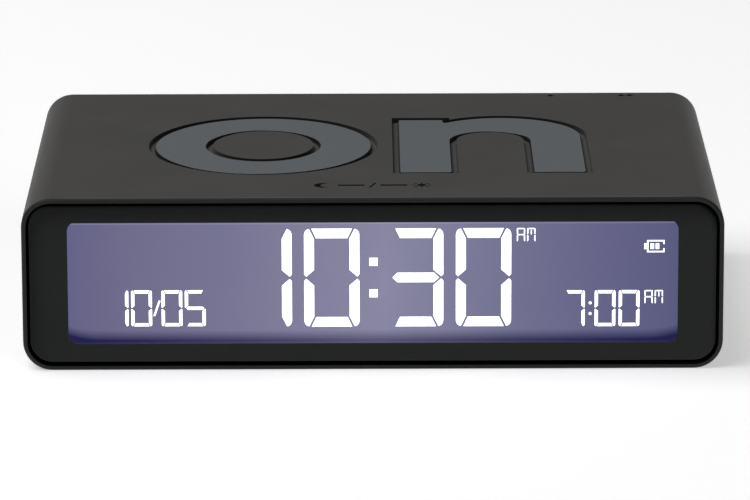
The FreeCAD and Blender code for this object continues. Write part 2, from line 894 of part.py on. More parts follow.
def cell_ridges():
    """A ridge along the top and the bottom of the room, hollowed on both sides to cradle the cells."""
    ridges = []
    for side in (-1, 1):
        near = middle + side * ridge_inset
        far = middle + side * (room_half_height + compartment_wall / 2)
        ridge = box(compartment_x - ridge_width / 2, compartment_x + ridge_width / 2,
                    cell_front, cell_rear - cell_nub_length, min(near, far), max(near, far))
        for x in cell_places:
            ridge = ridge.cut(along_y(cell_diameter / 2 + cell_fit, x, middle, cell_front, cell_rear))
        ridges.append(ridge)
    return ridges


def front_contact_slots():
    """Slots in the compartment's front wall for the contacts' solder tabs."""
    slots = []
    for x in cell_places:
        slots.append(box(x - leaf_width / 2 - glass_fit, x + leaf_width / 2 + glass_fit,
                         room_front - compartment_wall, room_front,
                         middle - contact_thick / 2 - glass_fit, middle + contact_thick / 2 + glass_fit))
    return group(slots)


def add_panel_fittings(panel):
    """Buzzer ring, sound holes, key wells, key bosses and screw seats."""
    ring_outer = buzzer_disc_diameter / 2 + buzzer_fit + buzzer_wall
    ring_inner = buzzer_disc_diameter / 2 + buzzer_fit
    ring_front = panel_front - 2 * buzzer_step
    ring = along_y(ring_outer, buzzer_x, middle, ring_front, panel_front)
    panel = panel.fuse(ring)
    panel = panel.cut(along_y(ring_inner, buzzer_x, middle, ring_front, panel_front - buzzer_step))
    panel = panel.cut(along_y(ring_inner - buzzer_wall, buzzer_x, middle,
                              panel_front - buzzer_step, panel_front))
    dish_radius = sound_ring_radius + sound_dish_margin
    panel = panel.cut(along_y(dish_radius, buzzer_x, middle, panel_back - sound_dish_depth, panel_back))
    panel = panel.cut(sound_holes())
    for x in key_columns:
        for side in (-1, 1):
            z = middle + side * key_row_offset
            panel = panel.cut(rounded_slab(key_width / 2 + key_fit, key_height / 2 + key_fit,
                                           key_corner + key_fit, panel_front, panel_back, x, z))
    key_board_rear = plunger_front() - plunger_length - switch_height
    for side in (-1, 1):
        z = middle + side * key_boss_offset
        boss = along_y(key_boss_diameter / 2, key_board_x, z, key_board_rear, panel_front)
        panel = panel.fuse(boss).cut(along_y(screw_diameter / 2, key_board_x, z,
                                             key_board_rear, key_board_rear + key_screw_length))
    for x in (-post_x, post_x):
        for z in (middle - post_z, middle + post_z):
            panel = panel.cut(along_y(screw_diameter / 2 + screw_fit, x, z, panel_front, panel_back))
            panel = panel.cut(along_y(screw_head_diameter / 2 + screw_fit, x, z,
                                      panel_back - screw_seat_depth, panel_back))
    return panel.removeSplitter()


def sound_holes():
    """One hole in the middle and a ring of holes round it."""
    holes = [along_y(sound_hole_diameter / 2, buzzer_x, middle, panel_front, panel_back)]
    for number in range(sound_ring_count):
        angle = 2 * math.pi * number / sound_ring_count
        holes.append(along_y(sound_hole_diameter / 2,
                             buzzer_x + sound_ring_radius * math.cos(angle),
                             middle + sound_ring_radius * math.sin(angle),
                             panel_front, panel_back))
    return group(holes)


def battery_door():
    """A lid with a hinge barrel and pins at one end, and a thumb dip, grip ribs and tongue at the other."""
    z0 = middle - door_half_height
    z1 = middle + door_half_height
    lid = box(hinge_x, door_end, door_inner, panel_back, z0, z1)
    lid = lid.fuse(along_z(barrel_radius, hinge_x, hinge_y, z0, z1))
    pin_half = door_half_height + hinge_pin_length
    lid = lid.fuse(along_z(hinge_pin_diameter / 2, hinge_x, hinge_y, middle - pin_half, middle + pin_half))
    tongue_outer = door_end - door_fit
    tongue = box(tongue_outer - tongue_thick, tongue_outer, door_inner - tongue_reach, door_inner,
                 middle - tongue_width / 2, middle + tongue_width / 2)
    lid = lid.fuse(tongue)
    dip_radius = thumb_width
    dip = Part.makeSphere(dip_radius, Vector(door_end - thumb_width / 2,
                                             panel_back + dip_radius - thumb_depth, middle))
    lid = lid.cut(dip)
    for number in range(grip_count):
        x = door_end - thumb_width - number * grip_pitch
        lid = lid.fuse(along_z(grip_width / 2, x, panel_back,
                               middle - grip_length / 2, middle + grip_length / 2))
    return lid.removeSplitter()


def door_bridge():
    """The plate inside the door that joins the two cells, with a dimple for each."""
    bridge_half_height = room_half_height - cell_fit * 2
    plate = box(cell_places[0] - cell_diameter / 3, cell_places[1] + cell_diameter / 3,
                bridge_front, door_inner, middle - bridge_half_height, middle + bridge_half_height)
    for x in cell_places:
        dome_radius = (dimple_radius ** 2 + dimple_height ** 2) / (2 * dimple_height)
        dome = Part.makeSphere(dome_radius, Vector(x, bridge_front - dimple_height + dome_radius, middle))
        cap = along_y(2 * dimple_radius, x, middle, bridge_front - dimple_height, bridge_front)
        plate = plate.fuse(dome.common(cap))
    return plate.removeSplitter()


def minus_spring():
    """A cone of wire from the compartment's front wall to the cell, with a flat first turn."""
    x = cell_places[1]
    wire_radius = spring_wire / 2
    start = room_front + contact_thick + wire_radius
    rise = cell_front - cell_end_gap - wire_radius - start
    quarters = 4 * spring_turns
    points = []
    for number in range(2 * quarters + 1):
        share = number / (2 * quarters)
        angle = 2 * math.pi * spring_turns * share
        radius = spring_large_radius + (spring_small_radius - spring_large_radius) * share
        points.append(Vector(x + radius * math.cos(angle), start + rise * share,
                             middle + radius * math.sin(angle)))
    edges = [Part.Arc(a, b, c).toShape() for a, b, c in zip(points[::2], points[1::2], points[2::2])]
    path = Part.Wire(edges)
    first = edges[0]
    tangent = first.tangentAt(first.FirstParameter)
    circle = Part.Wire(Part.makeCircle(wire_radius, points[0], tangent))
    return path.makePipeShell([circle], True, False)


def contact_plate(x):
    """A plate on the compartment's front wall with a tab through its slot."""
    half = cell_diameter / 2 - cell_fit
    plate = box(x - half, x + half, room_front, room_front + contact_thick, middle - half, middle + half)
    tab = box(x - leaf_width / 2, x + leaf_width / 2, room_front - 2 * compartment_wall, room_front,
              middle - contact_thick / 2, middle + contact_thick / 2)
    return plate.fuse(tab)


def plus_contact():
    """The plate for the other cell, with a folded leaf that reaches its nub."""
    x = cell_places[0]
    plate = contact_plate(x)
    root = room_front + contact_thick
    crest = cell_front - cell_end_gap
    low = middle - cell_diameter / 3
    high = middle + cell_diameter / 4
    outline = [
        Vector(x - leaf_width / 2, root, low),
        Vector(x - leaf_width / 2, crest, middle - contact_thick),
        Vector(x - leaf_width / 2, crest, middle + contact_thick),
        Vector(x - leaf_width / 2, root + contact_thick, high),
        Vector(x - leaf_width / 2, root, high),
        Vector(x - leaf_width / 2, crest - contact_thick, middle),
        Vector(x - leaf_width / 2, root, low + 2 * contact_thick),
    ]
    leaf = Part.Face(Part.makePolygon(outline + outline[:1])).extrude(Vector(leaf_width, 0, 0))
    return plate.fuse(leaf).removeSplitter()


# Buzzer
def buzzer_disc():
    """A brass disc that rests on the step of its ring."""
    back = panel_front - buzzer_step
    return along_y(buzzer_disc_diameter / 2, buzzer_x, middle, back - buzzer_disc_thick, back)


def buzzer_ceramic():
    """The ceramic layer on the disc's inner face."""
    back = panel_front - buzzer_step - buzzer_disc_thick
    return along_y(ceramic_diameter / 2, buzzer_x, middle, back - ceramic_thick, back)


# Set keys
key_board_x = (key_columns[0] + key_columns[1]) / 2
key_names = {
    "key_hours": (0, 1),
    "key_minutes": (1, 1),
    "key_clock": (0, -1),
    "key_alarm": (1, -1),
}


def flange_front_y():
    """The inner face of a key's flange."""
    return panel_front - key_flange_gap - key_flange_thick


def plunger_front():
    """The outer end of a switch's plunger."""
    return flange_front_y() - plunger_gap


def key_cap(x, z):
    """A crowned cap that stands a little proud of the panel, with a flange behind it."""
    cap = rounded_slab(key_width / 2, key_height / 2, key_corner,
                       flange_front_y(), panel_back + key_proud, x, z)
    cap = cap.makeFillet(key_round, edges_at_y(cap, panel_back + key_proud))
    flange = rounded_slab(key_width / 2 + key_flange, key_height / 2 + key_flange,
                          key_corner + key_flange, flange_front_y(),
                          flange_front_y() + key_flange_thick, x, z)
    return cap.fuse(flange).removeSplitter()


def plunger(x, z):
    """The round button in a switch."""
    top = plunger_front()
    return along_y(plunger_diameter / 2, x, z, top - plunger_length - 2 * key_travel, top)


def key_switches():
    """Four square switch cases with a bore for each plunger."""
    cases = []
    top = plunger_front() - plunger_length
    half = switch_side / 2
    for x in key_columns:
        for side in (-1, 1):
            z = middle + side * key_row_offset
            case = box(x - half, x + half, top - switch_height, top, z - half, z + half)
            bore = along_y(plunger_diameter / 2 + plunger_fit, x, z, top - 4 * key_travel, top)
            cases.append(case.cut(bore))
    return group(cases)


def key_board():
    """The small board behind the keys."""
    key_board_width = key_pitch + switch_side + 2 * key_board_margin
    key_board_height = 2 * (key_boss_offset + key_board_end)
    back = plunger_front() - plunger_length - switch_height
    board = box(key_board_x - key_board_width / 2, key_board_x + key_board_width / 2,
                back - board_thick, back, middle - key_board_height / 2, middle + key_board_height / 2)
    for side in (-1, 1):
        board = board.cut(along_y(screw_diameter / 2 + screw_fit, key_board_x,
                                  middle + side * key_boss_offset, back - board_thick, back))
    return board


# Fasteners
def screw(x, z, y, length, direction):
    """A screw with a bevelled head and a cross slot. direction is where its tip points along Y."""
    head = Part.makeCylinder(screw_head_diameter / 2, screw_head_height,
                             Vector(x, y, z), Vector(0, -direction, 0))
    outer_y = y - direction * screw_head_height
    rim = [edge for edge in head.Edges if edge.Closed and abs(edge.BoundBox.Center.y - outer_y) < 1e-6]
    head = head.makeChamfer(screw_head_bevel, rim)
    shank = Part.makeCylinder(screw_diameter / 2, length, Vector(x, y, z), Vector(0, direction, 0))
    y0 = min(outer_y, outer_y + direction * slot_depth)
    y1 = max(outer_y, outer_y + direction * slot_depth)
    half_slot = slot_width / 2
    reach = slot_length / 2
    across = box(x - reach, x + reach, y0, y1, z - half_slot, z + half_slot)
    upright = box(x - half_slot, x + half_slot, y0, y1, z - reach, z + reach)
    return head.fuse(shank).cut(across.fuse(upright)).removeSplitter()


def panel_screws():
    """The four screws that pull the panel and the display frame together."""
    seat = panel_back - screw_seat_depth
    length = seat - (panel_front - post_end_gap - screw_length)
    screws = []
    for x in (-post_x, post_x):
        for z in (middle - post_z, middle + post_z):
            screws.append(screw(x, z, seat, length, -1))
    return group(screws)


def key_board_screws():
    """The two screws that hold the key board to its bosses."""
    front_of_board = plunger_front() - plunger_length - switch_height - board_thick
    length = board_thick + key_screw_length
    return group([screw(key_board_x, middle + side * key_boss_offset, front_of_board, length, 1)
                  for side in (-1, 1)])


# Wires and ribbon
def ribbon_sockets():
    """The flat connectors at both ends of the ribbon."""
    main_z = middle - ribbon_drop
    key_front = plunger_front() - plunger_length - switch_height - board_thick
    half = socket_width / 2
    main = box(key_board_x - half, key_board_x + half, board_back, board_back + socket_depth,
               main_z - socket_height / 2, main_z + socket_height / 2)
    key = box(key_board_x - half, key_board_x + half, key_front - socket_depth, key_front,
              middle - socket_height / 2, middle + socket_height / 2)
    return group([main, key])


def key_ribbon():
    """A flat ribbon in a gentle bend from the main board to the key board."""
    start = Vector(key_board_x, board_back + socket_depth, middle - ribbon_drop)
    end_y = plunger_front() - plunger_length - switch_height - board_thick - socket_depth
    end = Vector(key_board_x, end_y, middle)
    run = (end.y - start.y) / 3
    points = [start, start + Vector(0, run, 0), end - Vector(0, run, 0), end]
    half_width = ribbon_width / 2
    half_thick = ribbon_thick / 2
    corners = [Vector(key_board_x - half_width, start.y, start.z - half_thick),
               Vector(key_board_x + half_width, start.y, start.z - half_thick),
               Vector(key_board_x + half_width, start.y, start.z + half_thick),
               Vector(key_board_x - half_width, start.y, start.z + half_thick)]
    section = Part.makePolygon(corners + corners[:1])
    return bent_path(points).makePipeShell([section], True, False)


def battery_wire(cell_x, board_x, side):
    """A wire from a contact's tab across to the main board, above or below the tab."""
    tab_y = room_front - compartment_wall
    tab_z = middle + side * (contact_thick + wire_diameter) / 2
    middle_y = (tab_y + board_back) / 2
    rise = side * 2 * wire_diameter
    points = [
        Vector(cell_x, tab_y, tab_z),
        Vector(cell_x, middle_y, tab_z),
        Vector(board_x, middle_y, tab_z + rise),
        Vector(board_x, board_back, tab_z + rise),
    ]
    return tube(points, wire_diameter)


def buzzer_leads():
    """Two thin wires from the buzzer to the main board."""
    leads = []
    disc_face = panel_front - buzzer_step - buzzer_disc_thick
    ceramic_face = disc_face - ceramic_thick
    ends = ((ceramic_face, 0.0), (disc_face, (ceramic_diameter + buzzer_disc_diameter) / 4))
    for number, (face_y, offset) in enumerate(ends):
        x = buzzer_x + offset
        landing = chip_x - chip_diameter / 2 - (number + 1) * 2 * wire_diameter
        z = middle - 2 * number * wire_diameter
        points = [
            Vector(x, face_y, z),
            Vector(x, face_y - lead_run, z),
            Vector((x + landing) / 2 + wire_diameter, (face_y + board_back) / 2, z - wire_diameter),
            Vector(landing, board_back + lead_run, z),
            Vector(landing, board_back, z),
        ]
        leads.append(tube(points, lead_diameter))
    return group(leads)


# Write every piece
save("sleeve", sleeve())
for name, make_letter in top_letters.items():
    save(name, inlay(make_letter()))
for name, make_letter in underside_letters.items():
    save(name, flipped(inlay(make_letter())))
save("front_lens", front_plate(lens_front, mask_front))
save("lens_mask", lens_mask())
save("display_frame", display_frame())
save("front_polariser", film(glass_front - film_thick))
save("front_glass", glass(front_glass_width, glass_front))
save("rear_glass", glass(rear_glass_width, rear_glass_front))
save("rear_polariser", film(rear_film_front))
save("diffuser_sheet", rounded_slab(light_box_width / 2, film_half_height, window_radius,
                                    diffuser_front, light_box_front))
save("light_box", light_box())
save("backlight_lamps", backlight_lamps())
save("contact_strips", contact_strips())
save("main_board", main_board())
save("clock_chip", clock_chip())
save("crystal", crystal())
save("capacitor", capacitor())
save("chip_resistors", chip_resistors())
save("tilt_base", tilt_base())
save("tilt_can", tilt_can())
save("tilt_ball", tilt_ball())
save("touch_pads", group([touch_pad(), flipped(touch_pad())]))
save("touch_leaves", group([touch_leaf(), flipped(touch_leaf())]))
save("rear_panel", rear_panel())
save("panel_screws", panel_screws())
save("battery_door", battery_door())
save("door_bridge", door_bridge())
save("battery_cell_1", aaa_cell(cell_places[0], False))
save("battery_cell_2", aaa_cell(cell_places[1], True))
save("plus_contact", plus_contact())
save("minus_plate", contact_plate(cell_places[1]))
save("minus_spring", minus_spring())
save("buzzer_disc", buzzer_disc())
save("buzzer_ceramic", buzzer_ceramic())
for name, (column, side) in key_names.items():
    key_x = key_columns[column]
    key_z = middle + side * key_row_offset
    save(name, key_cap(key_x, key_z))
    save(name.replace("key", "plunger"), plunger(key_x, key_z))
save("key_switches", key_switches())
save("key_board", key_board())
save("key_board_screws", key_board_screws())
save("ribbon_sockets", ribbon_sockets())
save("key_ribbon", key_ribbon())
save("battery_wire_red", battery_wire(cell_places[0], tilt_x - 3 * can_radius, 1))
save("battery_wire_black", battery_wire(cell_places[1], tilt_x - 3 * can_radius, -1))
save("buzzer_leads", buzzer_leads())
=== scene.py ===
# %% [markdown]
# A flip-over alarm clock.
# The clock is one soft, rounded brick with a wide lit display in its front face. A large word is set
# into its top and another one into its underside: the word that lies on top says whether the alarm
# is on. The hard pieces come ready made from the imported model, in metres, and stay where they are.
# This file gives each of them its finish, and adds what is printed or lit on them.

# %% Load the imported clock
import math

import bmesh
import bpy
from mathutils import Matrix, Vector


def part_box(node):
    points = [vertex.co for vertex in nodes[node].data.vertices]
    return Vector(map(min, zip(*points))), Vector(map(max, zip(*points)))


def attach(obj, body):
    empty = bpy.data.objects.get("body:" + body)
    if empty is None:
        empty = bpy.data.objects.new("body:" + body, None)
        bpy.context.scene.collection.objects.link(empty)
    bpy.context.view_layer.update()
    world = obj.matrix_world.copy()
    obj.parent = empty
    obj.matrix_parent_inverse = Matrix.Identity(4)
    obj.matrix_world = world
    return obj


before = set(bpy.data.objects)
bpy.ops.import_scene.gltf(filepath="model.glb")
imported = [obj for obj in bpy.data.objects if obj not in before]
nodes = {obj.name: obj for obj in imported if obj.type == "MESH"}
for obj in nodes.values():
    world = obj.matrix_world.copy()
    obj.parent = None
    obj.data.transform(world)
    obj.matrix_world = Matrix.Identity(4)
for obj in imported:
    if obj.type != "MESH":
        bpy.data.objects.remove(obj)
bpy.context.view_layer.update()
MM = 0.001

# %% [markdown]
# Every place in this file is worked out from the pieces themselves, so that a print stays on its
# surface when the clock changes. Lengths are easier to read in millimetres, so the boxes of the
# nodes are kept in millimetres, and each new mesh is scaled to metres once, when it is placed.

# %% Measure the pieces that carry something


class Box:
    """The lowest and highest corner of a node, in millimetres."""

    def __init__(self, node):
        low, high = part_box(node)
        self.left, self.front, self.bottom = (value / MM for value in low)
        self.right, self.back, self.top = (value / MM for value in high)
        self.across = (self.left + self.right) / 2
        self.up = (self.bottom + self.top) / 2


sleeve = Box("sleeve")
mask = Box("lens_mask")
film = Box("front_polariser")
word_on = Box("inlay_on_o")
word_off = Box("inlay_off_o")
print(f"sleeve {sleeve.right - sleeve.left:.1f} x {sleeve.back - sleeve.front:.1f} x {sleeve.top:.1f} mm")

# %% [markdown]
# The camera stands a little more than 0.8 m in front of the clock and looks down at it by about
# fifteen degrees. A long lens from further away shows a small thing with hardly any perspective,
# which is what a catalogue picture does. Colours are shown as they are written, with no film look.

# %% Place the camera
bpy.context.scene.view_settings.view_transform = "Standard"

EYE = (-1.5, -822.6, 223.7)
HEADING = 0.133
LOOK_DOWN = 14.60
ROLL = 0.158
LENS = 261.7
SENSOR = 36.0

camera_data = bpy.data.cameras.new("camera")
camera_data.lens = LENS
camera_data.sensor_width = SENSOR
camera = bpy.data.objects.new("camera", camera_data)
bpy.context.scene.collection.objects.link(camera)
bpy.context.scene.camera = camera
turn = Matrix.Rotation(math.radians(-HEADING), 4, "Z")
tilt = Matrix.Rotation(math.radians(90 - LOOK_DOWN), 4, "X")
roll = Matrix.Rotation(math.radians(-ROLL), 4, "Z")
camera.matrix_world = Matrix.Translation(Vector(EYE) * MM) @ turn @ tilt @ roll
print(f"camera at {tuple(round(value, 3) for value in camera.location)} m")

# %% [markdown]
# Shader sums are easier to read as sums. A Wire is one output socket of a material's node tree, and
# the usual signs work on it: each sign adds one Math node. Colours never go through Math, because
# it turns them grey, so they are mixed by a Mix node.

# %% Write shader sums as sums


class Wire:
    """One output socket, with the signs of ordinary sums."""

    def __init__(self, finish, socket):
        self.finish = finish
        self.socket = socket

    def sum(self, operation, *values):
        settings = {"operation": operation}
        return self.finish.add("ShaderNodeMath", settings, dict(enumerate(values)))

    def __add__(self, other):
        return self.sum("ADD", self, other)

    def __mul__(self, other):
        return self.sum("MULTIPLY", self, other)

    def __sub__(self, other):
        return self.sum("SUBTRACT", self, other)

    def __rsub__(self, other):
        return self.sum("SUBTRACT", other, self)

    def __gt__(self, other):
        return self.sum("GREATER_THAN", self, other)

    def __lt__(self, other):
        return self.sum("LESS_THAN", self, other)

    def __or__(self, other):
        return self.sum("MAXIMUM", self, other)

    def __abs__(self):
        return self.sum("ABSOLUTE", self)

    __radd__ = __add__
    __rmul__ = __mul__

    def rise(self, low, high):
        """From 0 at low to 1 at high, with soft ends."""
        settings = {"interpolation_type": "SMOOTHSTEP"}
        return self.finish.add("ShaderNodeMapRange", settings, {"Value": self, 1: low, 2: high})


class Finish:
    """A material whose Principled shader is fed by name."""

    def __init__(self, name, **constants):
        self.material = bpy.data.materials.new(name)
        self.material.use_nodes = True
        self.tree = self.material.node_tree
        self.shader = self.tree.nodes["Principled BSDF"]
        for socket, value in constants.items():
            self.shader.inputs[socket.replace("_", " ")].default_value = value

    def add(self, kind, settings=None, values=None, output=0):
        """One node of this kind: its settings first, then a value or a Wire for each socket."""
        node = self.tree.nodes.new(kind)
        for name, setting in (settings or {}).items():
            if name == "stops":
                self.set_stops(node.color_ramp, setting)
            else:
                setattr(node, name, setting)
        for socket, value in (values or {}).items():
            self.feed(node.inputs[socket], value)
        return Wire(self, node.outputs[output])

    def set_stops(self, ramp, stops):
        while len(ramp.elements) < len(stops):
            ramp.elements.new(1.0)
        for element, (place, colour) in zip(ramp.elements, stops):
            element.position = place
            element.color = colour

    def feed(self, socket, value):
        if isinstance(value, Wire):
            self.tree.links.new(value.socket, socket)
        else:
            socket.default_value = value

    def set(self, **sockets):
        for name, value in sockets.items():
            self.feed(self.shader.inputs[name.replace("_", " ")], value)

    def mix(self, share, first, second):
        """Share 0 gives the first colour and share 1 the second."""
        return self.add("ShaderNodeMix", {"data_type": "RGBA"}, {0: share, 6: first, 7: second}, 2)

    def place(self):
        """Where a point is on the clock, in millimetres."""
        where = self.add("ShaderNodeTexCoord", output=3)
        millimetres = (1 / MM, 1 / MM, 1 / MM)
        return self.add("ShaderNodeVectorMath", {"operation": "MULTIPLY"}, {0: where, 1: millimetres})

    def axes(self, place):
        split = self.add("ShaderNodeSeparateXYZ", {}, {0: place}).socket.node
        return [Wire(self, output) for output in split.outputs]

    def depth_inside(self, across, up, half_width, half_height, radius):
        """How far a point lies inside the outline of a rounded box, up to its corner radius."""
        past_end = (abs(across) - (half_width - radius)) | 0.0
        past_flat = (abs(up) - (half_height - radius)) | 0.0
        corner = self.add("ShaderNodeCombineXYZ", {}, {0: past_end, 1: past_flat})
        return radius - self.add("ShaderNodeVectorMath", {"operation": "LENGTH"}, {0: corner}, 1)

    def show(self, shader):
        """Makes the material show this shader, which may be a mix."""
        self.feed(self.tree.nodes["Material Output"].inputs["Surface"], shader)

    def noise(self, place, grain, detail=2.0):
        """Uneven grey from 0 to 1, whose blotches are about grain millimetres wide."""
        return self.add("ShaderNodeTexNoise", {}, {"Vector": place, "Scale": 1 / grain, "Detail": detail})

    def openness(self, reach):
        """1 on open ground, and less in a nook with walls within reach millimetres."""
        return self.add("ShaderNodeAmbientOcclusion", {"samples": 6}, {"Distance": reach * MM}, 1)

    def bump(self, height, depth):
        """Raises the surface by height times depth, in millimetres."""
        values = {"Height": height, "Distance": depth * MM, "Strength": 1.0}
        self.set(Normal=self.add("ShaderNodeBump", {}, values))


def shade(red, green, blue):
    """A colour as it is read off a screen, from 0 to 255, in the numbers that a shader takes."""

    def linear(value):
        part = value / 255
        return part / 12.92 if part <= 0.04045 else ((part + 0.055) / 1.055) ** 2.4

    return (linear(red), linear(green), linear(blue), 1.0)


print("shader sums ready")

# %% [markdown]
# The floor is a wide white sheet. A camera sees it as white, except where the clock keeps the light
# off it: the sheet adds a little glow of its own for camera, mirror and glass rays only, so the
# shadow stays and no lamp has to be turned up for it. The room behind it is white in the same way.
# The sheet has an opening under the clock's flat base and can't be seen from below, so the word on
# the underside shows when somebody looks up at it.

# %% Lay the floor and light the room
FLOOR_SIZE = 8.0
FLOOR_COLOUR = (0.80, 0.80, 0.80, 1.0)
FLOOR_GLOW = 0.45
FLOOR_OPENING = 6.0
ROOM_LIGHT = 0.50


def seen_directly(finish):
    """1 for camera, mirror and glass rays, and 0 for the rays that carry light."""
    paths = finish.add("ShaderNodeLightPath").socket.node.outputs
    camera_ray, glossy_ray, glass_ray = (
        Wire(finish, paths[name]) for name in ("Is Camera Ray", "Is Glossy Ray", "Is Transmission Ray")
    )
    return camera_ray | glossy_ray | glass_ray


def lay_floor():
    mesh = bpy.data.meshes.new("floor")
    half = FLOOR_SIZE / 2
    left, right = (sleeve.left + FLOOR_OPENING) * MM, (sleeve.right - FLOOR_OPENING) * MM
    front, back = (sleeve.front + FLOOR_OPENING) * MM, (sleeve.back - FLOOR_OPENING) * MM
    outer = [(-half, -half, 0), (half, -half, 0), (half, half, 0), (-half, half, 0)]
    inner = [(left, front, 0), (right, front, 0), (right, back, 0), (left, back, 0)]
    sides = [(side, (side + 1) % 4, (side + 1) % 4 + 4, side + 4) for side in range(4)]
    mesh.from_pydata(outer + inner, [], sides)
    floor = bpy.data.objects.new("floor", mesh)
    bpy.context.scene.collection.objects.link(floor)
    finish = Finish("floor_sheet", Roughness=0.9, Specular_IOR_Level=0.0)
    finish.set(Base_Color=FLOOR_COLOUR)
    strength = seen_directly(finish) * FLOOR_GLOW
    glow = finish.add("ShaderNodeEmission", {}, {"Color": (1, 1, 1, 1), "Strength": strength})
    both = finish.add("ShaderNodeAddShader", {}, {0: Wire(finish, finish.shader.outputs[0]), 1: glow})
    from_below = finish.add("ShaderNodeNewGeometry", output=6)
    open_way = finish.add("ShaderNodeBsdfTransparent")
    finish.show(finish.add("ShaderNodeMixShader", {}, {0: from_below, 1: both, 2: open_way}))
    mesh.materials.append(finish.material)


def light_room():
    world = bpy.data.worlds.new("room")
    bpy.context.scene.world = world
    world.use_nodes = True
    tree = world.node_tree
    background = tree.nodes["Background"]
    paths = tree.nodes.new("ShaderNodeLightPath")
    brighter = tree.nodes.new("ShaderNodeMapRange")
    either = tree.nodes.new("ShaderNodeMath")
    either.operation = "MAXIMUM"
    tree.links.new(paths.outputs["Is Camera Ray"], either.inputs[0])
    tree.links.new(paths.outputs["Is Glossy Ray"], either.inputs[1])
    tree.links.new(either.outputs[0], brighter.inputs["Value"])
    brighter.inputs["To Min"].default_value = ROOM_LIGHT
    tree.links.new(brighter.outputs[0], background.inputs["Strength"])


def hang_lamp(name, place, width, depth, power):
    """A soft box, which faces the clock. Rays that bend in a pane don't meet it, which saves specks."""
    lamp = bpy.data.lights.new(name, "AREA")
    lamp.shape = "RECTANGLE"
    lamp.size = width
    lamp.size_y = depth
    lamp.energy = power
    holder = bpy.data.objects.new(name, lamp)
    bpy.context.scene.collection.objects.link(holder)
    holder.location = place
    holder.rotation_euler = (-Vector(place)).to_track_quat("-Z", "Y").to_euler()
    holder.visible_transmission = False


lay_floor()
light_room()
hang_lamp("key_light", (-0.60, -0.10, 1.10), 1.2, 1.2, 13.0)
hang_lamp("fill_light", (0.55, -1.2, 0.75), 0.9, 0.7, 4.0)
print("floor, room and two soft boxes")

# %% [markdown]
# The outer sleeve has a soft-touch coat: a matt, slightly rubbery paint over moulded plastic. Close
# up it has a very fine grain and it is not quite even. Where the ends are round it is a little less
# rough, as if polished by hands, and painted lighter there as a painted highlight; a thin painted
# highlight also runs along the top just behind the front edge. The lip round the display is painted
# dark as painted shade, and the groove inside it shows a black shader that sends no light back, as
# painted shade. The walls of the pockets that hold the words are painted dark as painted shade, and
# their coated floor is painted darker near the walls as painted shade of the nooks, so that each
# letter has a double line round it.

# %% Coat the sleeve
LIP_DEPTH = 0.42
LIP_HIGHLIGHT_WIDTH = 0.35
POCKET_EDGE = 0.04
POCKET_FLOOR = shade(84, 83, 80)
CORNER = 4.4
SKIN = 0.68
POLISH_AND_HIGHLIGHT_END = 6.0
FLAT_EDGE = 1.5
FLAT_HALF = 46.0
POCKETS_FROM_FRONT = 8.0
POCKETS_FROM_BACK = 3.0
NOOK = 0.4


def soft_shell():
    finish = Finish("soft_shell", Specular_IOR_Level=0.32, Sheen_Weight=0.16, Sheen_Roughness=0.4)
    place = finish.place()
    across, along, up = finish.axes(place)
    patches = finish.noise(place, 14.0, 3.0)
    grain = finish.noise(place, 0.16, 2.0)
    coat = finish.mix(patches.rise(0.3, 0.7), shade(67, 66, 63), shade(71, 70, 67))
    # The round ends are painted lighter, a painted highlight, and made a little less rough, as polish would.
    polish_and_highlight = abs(across).rise(sleeve.right - POLISH_AND_HIGHLIGHT_END, sleeve.right)
    coat = finish.mix(polish_and_highlight * 0.5, coat, shade(80, 78, 75))
    height = abs(up - sleeve.top / 2)
    on_flat = (height > sleeve.top / 2 - FLAT_EDGE) * (abs(across) < FLAT_HALF)
    # A thin line along the top just behind the lip is painted lighter: a painted highlight on the front
    # edge.
    front_edge_highlight = on_flat * (along > sleeve.front + LIP_DEPTH) * (along < sleeve.front + LIP_DEPTH + LIP_HIGHLIGHT_WIDTH)
    coat = finish.mix(front_edge_highlight * 0.8, coat, shade(97, 95, 92))
    # The lip is painted dark: painted shade on its front-facing rounding.
    coat = finish.mix(along < sleeve.front + LIP_DEPTH, coat, shade(24, 25, 24))
    behind_front = along > sleeve.front + POCKETS_FROM_FRONT
    inside = on_flat * behind_front * (along < sleeve.back - POCKETS_FROM_BACK)
    # The walls of the word pockets are painted near black: painted shade in the pockets.
    coat = finish.mix(inside * (height < sleeve.top / 2 - POCKET_EDGE), coat, shade(16, 16, 16))
    # The pocket floor is painted darker near its walls, where the openness is low: painted shade in the
    # nooks.
    floor = finish.mix(finish.openness(NOOK).rise(0.55, 0.9), shade(14, 14, 14), POCKET_FLOOR)
    coat = finish.mix(inside * (height < word_on.bottom - sleeve.top / 2 + POCKET_EDGE), coat, floor)
    finish.set(Base_Color=coat, Roughness=0.60 - polish_and_highlight * 0.10 + grain * 0.08)
    finish.bump(grain, 0.012)
    # Beyond the lip the inner walls show a black shader with no gloss: painted shade in the groove.
    depth = finish.depth_inside(across, height, sleeve.right, sleeve.top / 2, CORNER)
    inner_wall = (depth > SKIN) * (1.0 - inside)
    groove_shade = finish.add("ShaderNodeBsdfDiffuse", {}, {"Color": shade(5, 5, 5)})
    coated = Wire(finish, finish.shader.outputs[0])
    finish.show(finish.add("ShaderNodeMixShader", {}, {0: inner_wall, 1: coated, 2: groove_shade}))
    return finish.material


SOFT_SHELL = soft_shell()
print(f"sleeve coated, lip {SKIN} mm wide")

# %% [markdown]
# Most of the other parts are moulded plastic. A mould is spark-eroded, which leaves a fine even
# grain, and the melt leaves faint flow marks. One function makes them all, and takes the colour, the
# lighter colour of the flow marks and the roughness. Printed ink is the same with hardly any gloss.

# %% Mould the plastics


